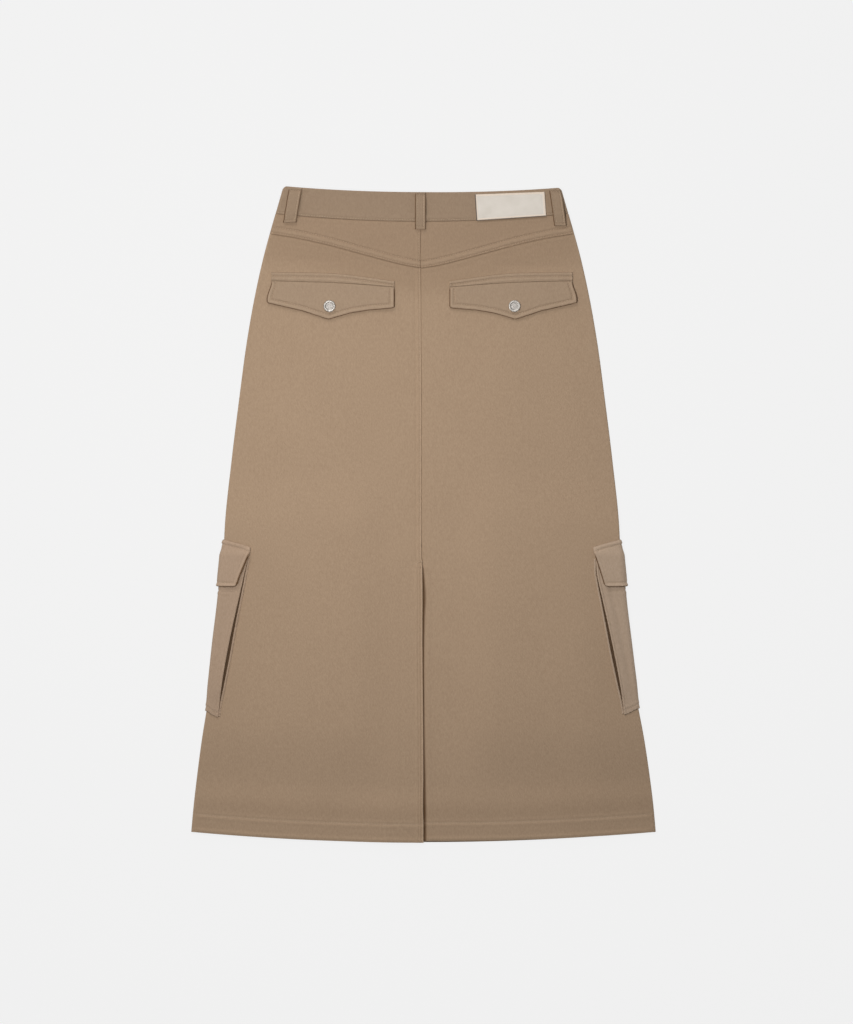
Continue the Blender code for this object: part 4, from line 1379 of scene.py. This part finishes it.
def turned_metal(name, profile, radius, height, around, y, offset):
    """A round piece turned from a profile, standing on the cloth at an offset from its middle."""
    count = 56
    angle = np.linspace(0, 2 * math.pi, count, endpoint=False)
    vertices = [(0.0, 0.0, profile[0][1] * height)]
    for out, up in profile[1:-1]:
        for a in angle:
            vertices.append((out * radius * math.cos(a), out * radius * math.sin(a), up * height))
    vertices.append((0.0, 0.0, profile[-1][1] * height))
    faces = [(0, 1 + k, 1 + (k + 1) % count) for k in range(count)]
    for ring in range(len(profile) - 3):
        a = 1 + ring * count
        for k in range(count):
            nxt = (k + 1) % count
            faces.append((a + k, a + count + k, a + count + nxt, a + nxt))
    a = 1 + (len(profile) - 3) * count
    last = len(vertices) - 1
    faces += [(a + (k + 1) % count, a + k, last) for k in range(count)]
    ground = place(around, y, offset)
    normal = Vector(place(around, y, offset + 0.001) - ground).normalized()
    turn = normal.to_track_quat("Z", "Y").to_matrix()
    standing = [tuple(Vector(ground) + turn @ Vector(v)) for v in vertices]
    mesh = bpy.data.meshes.new(name)
    mesh.from_pydata(standing, [], faces)
    mesh.polygons.foreach_set("use_smooth", [True] * len(mesh.polygons))
    mesh.materials.append(nickel)
    mesh.materials.append(dull_nickel)
    for face in mesh.polygons:
        rim = [math.dist(vertices[v][:2], (0.0, 0.0)) for v in face.vertices]
        sunk = max(rim) < SUNK_SHARE * radius and vertices[face.vertices[-1]][2] > height / 2
        face.material_index = 1 if sunk else 0
    piece = bpy.data.objects.new(name, mesh)
    bpy.context.scene.collection.objects.link(piece)
    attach(piece, "root")
    return piece


for side, which in ((-1, "left"), (1, "right")):
    seat = FLAP_SEAT + FLAP_THICKNESS + 0.0004
    snap = turned_metal(
        f"snap_{which}_cap", SNAP_PROFILE, SNAP_RADIUS, SNAP_HEIGHT,
        side * SNAP_OUT / float(reach(np.array(SNAP_Y))), SNAP_Y, seat,
    )
    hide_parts(f"snap_{which}")


# ---------------------------------------------------------------------------------------------
# The cargo pockets, folded round the skirt's two sides. Each has a bellows strip sewn to the
# skirt, a patch face on the bellows' other edge, and a flap sewn on above that covers its mouth.

# An edge on the back at its heights: y, and the distance out from the centre.
POCKET_EDGE = np.array([
    (-0.2430, 0.2440),
    (-0.2080, 0.2395),
    (-0.1580, 0.2305),
    (-0.1026, 0.2185),
    (-0.0830, 0.2140),
    (-0.0500, 0.2075),
])
CARGO_FLAP_EDGE = np.array([
    (-0.0862, 0.2212),
    (-0.0808, 0.2196),
    (-0.0659, 0.2140),
    (-0.0554, 0.2096),
    (-0.0470, 0.2062),
    (-0.0388, 0.2048),
])
# The dark opening beside the pocket's edge, and the bellows' fold beyond it.
OPENING = np.array([
    (-0.2430, 0.0000),
    (-0.2300, 0.0004),
    (-0.2050, 0.0024),
    (-0.1700, 0.0034),
    (-0.1300, 0.0026),
    (-0.0950, 0.0016),
    (-0.0500, 0.0002),
])
LEDGE = 0.0022
POCKET_ASIDE = {-1: 0.0010, 1: -0.0024}  # the right pocket was sewn nearer the centre
POCKET_FRONT_OUT = 0.1300
CARGO_FLAP_FRONT_OUT = 0.1270
POCKET_TOP_Y = -0.0520
POCKET_BOTTOMS = {  # on the back, along the side fold and on the front
    -1: (-0.2430, -0.2355, -0.2400),
    1: (-0.2400, -0.2325, -0.2400),
}
CARGO_FLAP_SHADOW = {-1: 0.0032, 1: 0.0020}  # width of the crevice along its edge on the back
CARGO_FLAP_ASIDE = {-1: 0.0, 1: -0.0030}  # the right flap's lower corner is nearer the centre
CARGO_FLAP_TOP = (-0.0388, -0.0300, -0.0330)
CARGO_FLAP_BOTTOM = (-0.0864, -0.0864, -0.0880)
BELLOWS_SEAT = CLOTH / 2 + GAP
FACE_SEAT = BELLOWS_SEAT + CLOTH + GAP
CARGO_FLAP_SEAT = FACE_SEAT + CLOTH + GAP
POCKET_HEM_STITCH = 0.0052
MOUTH_STITCH_Y = -0.0915
cargo_painted_light_twills = {  # lighter copies of the skirt's twill: painted light on the pockets, the right one lighter still and greyer
    -1: twill("brushed_cotton_twill_left_pocket_painted_light", "#a28a74", "#bba38d"),
    1: twill("brushed_cotton_twill_right_pocket_painted_light", "#a7917b", "#c1ab96"),
}
# A far darker copy of the twill for the bellows down in the opening: painted shade.
bellows_painted_shade_twill = twill("brushed_cotton_twill_bellows_painted_shade", "#4f3c2b", "#65503c")


def wrap_grid(side, edge_at, front_out, tops, foots, width, rounded, near_edge, near_top,
              near_foot, count):
    """Places of a piece that wraps round a side, from its edge on the back to the front's.

    Returns them with each place's distance in from the back edge and from the front edge.
    """
    fold = np.linspace(1.0, 2.0, 17)
    shares = np.linspace(0, 1, 12)[1:-1]
    front_shares = np.linspace(0, 1, 34)[1:-1]
    first = len(near_edge)
    second = first + len(shares)
    third = second + len(fold)
    fourth = third + len(front_shares)
    total = fourth + first
    share = np.concatenate([
        np.clip(near_edge / width, 0, 1),
        near_edge[-1] / width + (1 - near_edge[-1] / width) * shares,
    ])
    share = np.clip(share, 0, 1)
    front_share = np.concatenate([
        front_shares * 0.92,
        0.92 + 0.08 * (1 - near_edge[::-1] / near_edge[-1]),
    ])

    def level(ends):
        back, folded, front = ends
        return np.concatenate([
            back + (folded - back) * share,
            np.full(len(fold), folded),
            folded + (front - folded) * front_share,
        ])

    foot = level(foots)
    bend = 1 - np.clip(near_edge / rounded, 0, 1)
    foot[: len(near_edge)] += rounded * (1 - np.sqrt(1 - bend**2)) * 0.8
    ys = rows_between(level(tops), foot, near_top, near_foot, count)
    flat = reach(ys)
    edge = edge_at(ys)
    around = np.zeros_like(ys)
    around[:first] = (edge[:first] + near_edge[:, None]) / flat[:first]
    start = (edge[first:second] + near_edge[-1]) / flat[first:second]
    around[first:second] = start + (1 - start) * shares[:, None]
    around[second:third] = fold[:, None]
    stop = 3 - (front_out + near_edge[-1]) / flat[third:fourth]
    around[third:fourth] = 2 + (stop - 2) * front_shares[:, None]
    around[fourth:total] = 3 - (front_out + near_edge[::-1][:, None]) / flat[fourth:total]
    from_back = np.where(around < 1.6, around * flat - edge, 1.0)
    from_front = np.where(around > 1.6, (3 - around) * flat - front_out, 1.0)
    return side * around, ys, from_back, from_front


FLAP_TOP_STITCH = 0.0060  # below the cargo flap's top edge
FLAP_FOOT_STITCH = 0.0052  # above its foot


def lines_across(around, ys, top, columns, heights):
    """Lines of stitching across a wrapped piece's columns, one at each set of heights."""
    lines = []
    for at in heights:
        turn = np.array([np.interp(-y, -ys[i], around[i]) for i, y in zip(columns, at)])
        high = np.array([np.interp(-y, -ys[i], top[i]) for i, y in zip(columns, at)])
        lines.append(place(turn, at, high + THREAD_SEAT))
    return lines


pocket_near = graded(0.0085, 0.0002, 0.0007)
pocket_foot = graded(0.0100, 0.0002, 0.0008)
for side, which in ((-1, "left"), (1, "right")):
    bottoms = POCKET_BOTTOMS[side]
    cargo_painted_light_twill = cargo_painted_light_twills[side]

    def pocket_edge(y):
        slack = POCKET_ASIDE[side] * (1 - ease(y, -0.075, -0.050))
        return follow(POCKET_EDGE[:, 0], POCKET_EDGE[:, 1], y) + slack

    def opening(y):
        return follow(OPENING[:, 0], OPENING[:, 1], y)

    # The bellows: only the strip between the skirt's stitching and the pocket's edge shows.
    ys = np.linspace(POCKET_TOP_Y - 0.001, bottoms[0] + 0.0012, 150)
    length = opening(ys) + LEDGE + 0.0095
    wide = np.concatenate([
        np.repeat(graded(0.0030, 0.0002, 0.0005)[:, None], len(ys), axis=1),
        0.0030 + (length[None, :] - 0.0030) * np.linspace(0, 1, 26)[1:, None],
    ])
    rise = (bottoms[1] - bottoms[0]) * np.clip((wide - LEDGE) / 0.0175, 0, 1)
    grid_y = ys[None, :] + rise * ease(-ys[None, :], 0.15, -bottoms[0])
    out = pocket_edge(grid_y) - opening(grid_y) - LEDGE + wide
    around = side * np.minimum(out / reach(grid_y), 0.999)
    ridge = 0.0008 * bell(wide - LEDGE * 0.55, 0.0013) * ease(opening(grid_y), 0.0, 0.0020)
    seat = np.full(grid_y.shape, BELLOWS_SEAT)
    thick = CLOTH * (0.7 - 0.28 * (1 - ease(grid_y - bottoms[0], 0.004, 0.040)))
    bellows, cut = panel(
        f"cargo_bellows_{which}_cloth", around, grid_y, seat + thick + ridge, seat,
        cargo_painted_light_twill, rounding=0.0007,
    )
    # Faces past the ledge, down in the opening, take the darker twill: painted shade.
    bellows.data.materials.append(bellows_painted_shade_twill)
    shaded = (wide > LEDGE * 0.95)[:-1, :-1].ravel()
    painted_shade_slots = np.zeros(len(bellows.data.polygons), int)
    painted_shade_slots[: len(shaded)] = shaded
    bellows.data.polygons.foreach_set("material_index", painted_shade_slots.tolist())
    ledge_y = np.linspace(POCKET_TOP_Y - 0.010, bottoms[0] + 0.004, 120)
    ledge_out = pocket_edge(ledge_y) - opening(ledge_y) - LEDGE + 0.0011
    ledge_stitch = stitches(f"cargo_bellows_{which}_stitches", [
        place(side * ledge_out / reach(ledge_y), ledge_y, BELLOWS_SEAT + CLOTH * 0.7 + 0.0005)
    ])
    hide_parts(f"cargo_bellows_{which}")

    # The face, with its edges turned in, and a soft crease down it beside the edge.
    def face_top(around, y, from_back, from_front, foot):
        gape = 0.0020 * ease(opening(y), 0.0004, 0.0030) * (1 - ease(from_back, 0.0, 0.012))
        draw = 1 + 0.4 * pucker(y + around)
        inside = np.minimum(from_back, from_front)
        relief = RIDGE * (
            0.00035 * bell(inside - 0.0014, 0.0012)
            - 0.00022 * bell(inside - 0.0030, 0.0008)
            - 0.00018 * bell(foot - POCKET_HEM_STITCH, 0.0009)
            + 0.00016 * draw * bell(foot - 0.0078, 0.0017)
            - 0.00035 * bell(y - MOUTH_STITCH_Y, 0.0010)
            + 0.00025 * bell(y - MOUTH_STITCH_Y + 0.0026, 0.0015)
        )
        if side > 0:
            relief = relief - 0.0005 * bell(from_back - 0.0135, 0.0030) * ease(y, -0.225, -0.180)
            relief = relief + 0.0004 * bell(from_back - 0.0080, 0.0030) * ease(y, -0.225, -0.180)
        sewn_down = (FACE_SEAT - BELLOWS_SEAT) * 0.92 * (1 - ease(foot, 0.0, 0.036))
        return FACE_SEAT + CLOTH + gape + relief - sewn_down, gape - sewn_down

    around, ys, from_back, from_front = wrap_grid(
        side, pocket_edge, POCKET_FRONT_OUT, (POCKET_TOP_Y,) * 3, bottoms,
        0.0175, 0.0015, pocket_near, graded(0.002, 0.0002, 0.0008), pocket_foot, 74,
    )
    foot = ys - ys[:, -1:]
    top, gape = face_top(around, ys, from_back, from_front, foot)
    face, cut = panel(
        f"cargo_pocket_{which}_cloth", around, ys, top, FACE_SEAT + gape, cargo_painted_light_twill,
        rounding=0.0010, turned=0.020, shade=crevice(foot, 0.0008, 0.10),
    )
    columns = np.arange(2, around.shape[0] - 2)
    heights = (ys[columns, -1] + POCKET_HEM_STITCH, np.full(len(columns), MOUTH_STITCH_Y))
    lines = lines_across(around, ys, top, columns, heights)
    face_rows = stitches(f"cargo_pocket_{which}_stitches", lines)
    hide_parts(f"cargo_pocket_{which}")

    # The flap, turned out and topstitched along all its edges.
    def cargo_flap_edge(y):
        slack = CARGO_FLAP_ASIDE[side] * (1 - ease(y, -0.085, CARGO_FLAP_TOP[0]))
        return follow(CARGO_FLAP_EDGE[:, 0], CARGO_FLAP_EDGE[:, 1], y) + slack

    def cargo_flap_seat(y):
        down = 1 - ease(y, POCKET_TOP_Y + 0.0020, CARGO_FLAP_TOP[0] + 0.0005)
        return BELLOWS_SEAT + (CARGO_FLAP_SEAT - BELLOWS_SEAT) * down

    around, ys, from_back, from_front = wrap_grid(
        side, cargo_flap_edge, CARGO_FLAP_FRONT_OUT, CARGO_FLAP_TOP, CARGO_FLAP_BOTTOM,
        0.0260, 0.0055, pocket_near, graded(0.0080, 0.0002, 0.0008), pocket_foot, 16,
    )
    down = ys[:, :1] - ys
    foot = ys - ys[:, -1:]
    inside = np.minimum(from_back, from_front) * 0.93
    draw = 1 + 0.4 * pucker(around * 0.24)
    lift = 0.0006 * ease(down, 0.016, 0.046)
    lift = lift + 0.0008 * bell(from_back, 0.009) * ease(down, 0.01, 0.03)
    relief = RIDGE * (
        0.00025 * draw * bell(down - 0.0030, 0.0020)
        - 0.00040 * bell(down - FLAP_TOP_STITCH, 0.0009)
        + 0.00035 * bell(np.minimum(inside, foot) - 0.0016, 0.0014)
        - 0.00022 * bell(np.minimum(inside, foot) - FLAP_FOOT_STITCH, 0.0009)
        * ease(down, 0.004, 0.008)
    )
    # Painted shade in the crevices along its back edge, its top and its foot, and a painted
    # highlight just inside them.
    dark = crevice(from_back, CARGO_FLAP_SHADOW[side], 1.0) * ease(down, 0.004, 0.014)
    dark = np.maximum(dark, crevice(down, 0.0008, 0.40))
    dark = np.maximum(dark, crevice(foot, 0.0011, 0.88) * ease(from_back, 0.0, 0.004))
    dark = dark - 0.08 * bell(np.minimum(from_back, foot) - 0.0030, 0.0018)
    seat = cargo_flap_seat(ys) + lift
    allowance = 0.0008 * (1 - ease(down, 0.006, 0.020)) * ease(down, 0.0, 0.004)
    top = seat + CLOTH + allowance + 0.0004 * ease(down, 0.004, 0.010) + relief
    flap, cut = panel(
        f"cargo_flap_{which}_cloth", around, ys, top, seat, cargo_painted_light_twill, rounding=0.0014,
        shade=dark,
    )
    columns = np.arange(3, around.shape[0] - 3)
    heights = (ys[columns, 0] - FLAP_TOP_STITCH, ys[columns, -1] + FLAP_FOOT_STITCH)
    lines = lines_across(around, ys, top, columns, heights)
    flap_rows = stitches(f"cargo_flap_{which}_stitches", lines)
    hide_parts(f"cargo_flap_{which}")


# ---------------------------------------------------------------------------------------------
# The waist button, under the skirt at the centre front: a nickel-plated jeans button with a
# plain dished face, riveted through the waistband. The skirt's waist rests on it.

BUTTON_RADIUS = 0.0085
BUTTON_HEIGHT = 0.0026
BUTTON_PROFILE = (
    (0.00, 0.92),
    (0.30, 0.90),
    (0.52, 0.92),
    (0.60, 0.98),
    (0.68, 1.00),
    (0.84, 0.94),
    (0.96, 0.74),
    (1.00, 0.50),
    (0.99, 0.25),
    (0.92, 0.00),
    (0.00, 0.00),
)
button_y = float((waist_edge(np.array(3.0)) + band_seam(np.array(3.0))) / 2)
button = turned_metal(
    "waist_button_face", BUTTON_PROFILE, BUTTON_RADIUS, BUTTON_HEIGHT, 3.0, button_y,
    BAND / 2 + GAP,
)
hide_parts("waist_button")


# ---------------------------------------------------------------------------------------------
# The studio: a plain pale sweep that glows evenly and curves up far away, a soft lamp above the
# skirt's upper left, and a broader one that slants in from beyond its waist. The camera looks
# straight down.

SWEEP = ((12.0, 0.0), (16.0, 0.4), (19.0, 1.4), (21.0, 3.0), (22.0, 5.0))  # radius and height
SWEEP_TURNS = 64
SWEEP_GLOW = 0.845
ROOM_GLOW = 0.166
SWEEP_DROP = 0.0004  # keeps the floor clear of the cloth that lies on it
sweep = bpy.data.materials.new("pale_sweep")
sweep.use_nodes = True
shader = sweep.node_tree.nodes["Principled BSDF"]
shader.inputs["Base Color"].default_value = linear("#404040")
shader.inputs["Roughness"].default_value = 1.0
shader.inputs["Specular IOR Level"].default_value = 0.0
shader.inputs["Emission Color"].default_value = (1.0, 1.0, 1.0, 1.0)
shader.inputs["Emission Strength"].default_value = SWEEP_GLOW
mesh = bpy.data.meshes.new("floor")
points = []
faces = []
for radius, high in SWEEP:
    for step in range(SWEEP_TURNS):
        turn = 2 * math.pi * step / SWEEP_TURNS
        points.append((radius * math.cos(turn), radius * math.sin(turn), high - SWEEP_DROP))
faces.append(list(range(SWEEP_TURNS)))
for ring in range(len(SWEEP) - 1):
    for step in range(SWEEP_TURNS):
        near = ring * SWEEP_TURNS
        far = near + SWEEP_TURNS
        after = (step + 1) % SWEEP_TURNS
        faces.append([near + step, far + step, far + after, near + after])
mesh.from_pydata(points, [], faces)
mesh.materials.append(sweep)
floor = bpy.data.objects.new("floor", mesh)
bpy.context.scene.collection.objects.link(floor)

world = bpy.data.worlds.new("studio")
world.use_nodes = True
world.node_tree.nodes["Background"].inputs["Color"].default_value = (0.93, 0.96, 1.0, 1.0)
world.node_tree.nodes["Background"].inputs["Strength"].default_value = ROOM_GLOW
bpy.context.scene.world = world

for name, spot, aim, size, power, colour in (
    ("key_lamp", (-0.16, 0.14, 1.05), (-0.16, 0.14, 0.0), 0.50, 7.0, (1.0, 0.975, 0.955)),
    ("slant_lamp", (-0.70, 2.10, 1.35), (0.0, 0.0, 0.0), 1.10, 17.0, (1.0, 0.975, 0.95)),
):
    light = bpy.data.lights.new(name, "AREA")
    light.shape = "DISK"
    light.size = size
    light.energy = power
    light.color = colour
    lamp = bpy.data.objects.new(name, light)
    lamp.location = spot
    lamp.rotation_euler = (Vector(aim) - Vector(spot)).to_track_quat("-Z", "Y").to_euler()
    bpy.context.scene.collection.objects.link(lamp)

FRAME_HEIGHT = 1.2288  # of what the camera sees on the floor
FRAME_MIDDLE = (0.0036, 0.0030)
LENS = 100.0
SENSOR = 36.0
lens = bpy.data.cameras.new("camera")
lens.lens = LENS
lens.sensor_width = SENSOR
lens.clip_end = 50.0
camera = bpy.data.objects.new("camera", lens)
camera.location = (*FRAME_MIDDLE, FRAME_HEIGHT * LENS / SENSOR)
bpy.context.scene.collection.objects.link(camera)
bpy.context.scene.camera = camera
bpy.context.scene.view_settings.view_transform = "Standard"
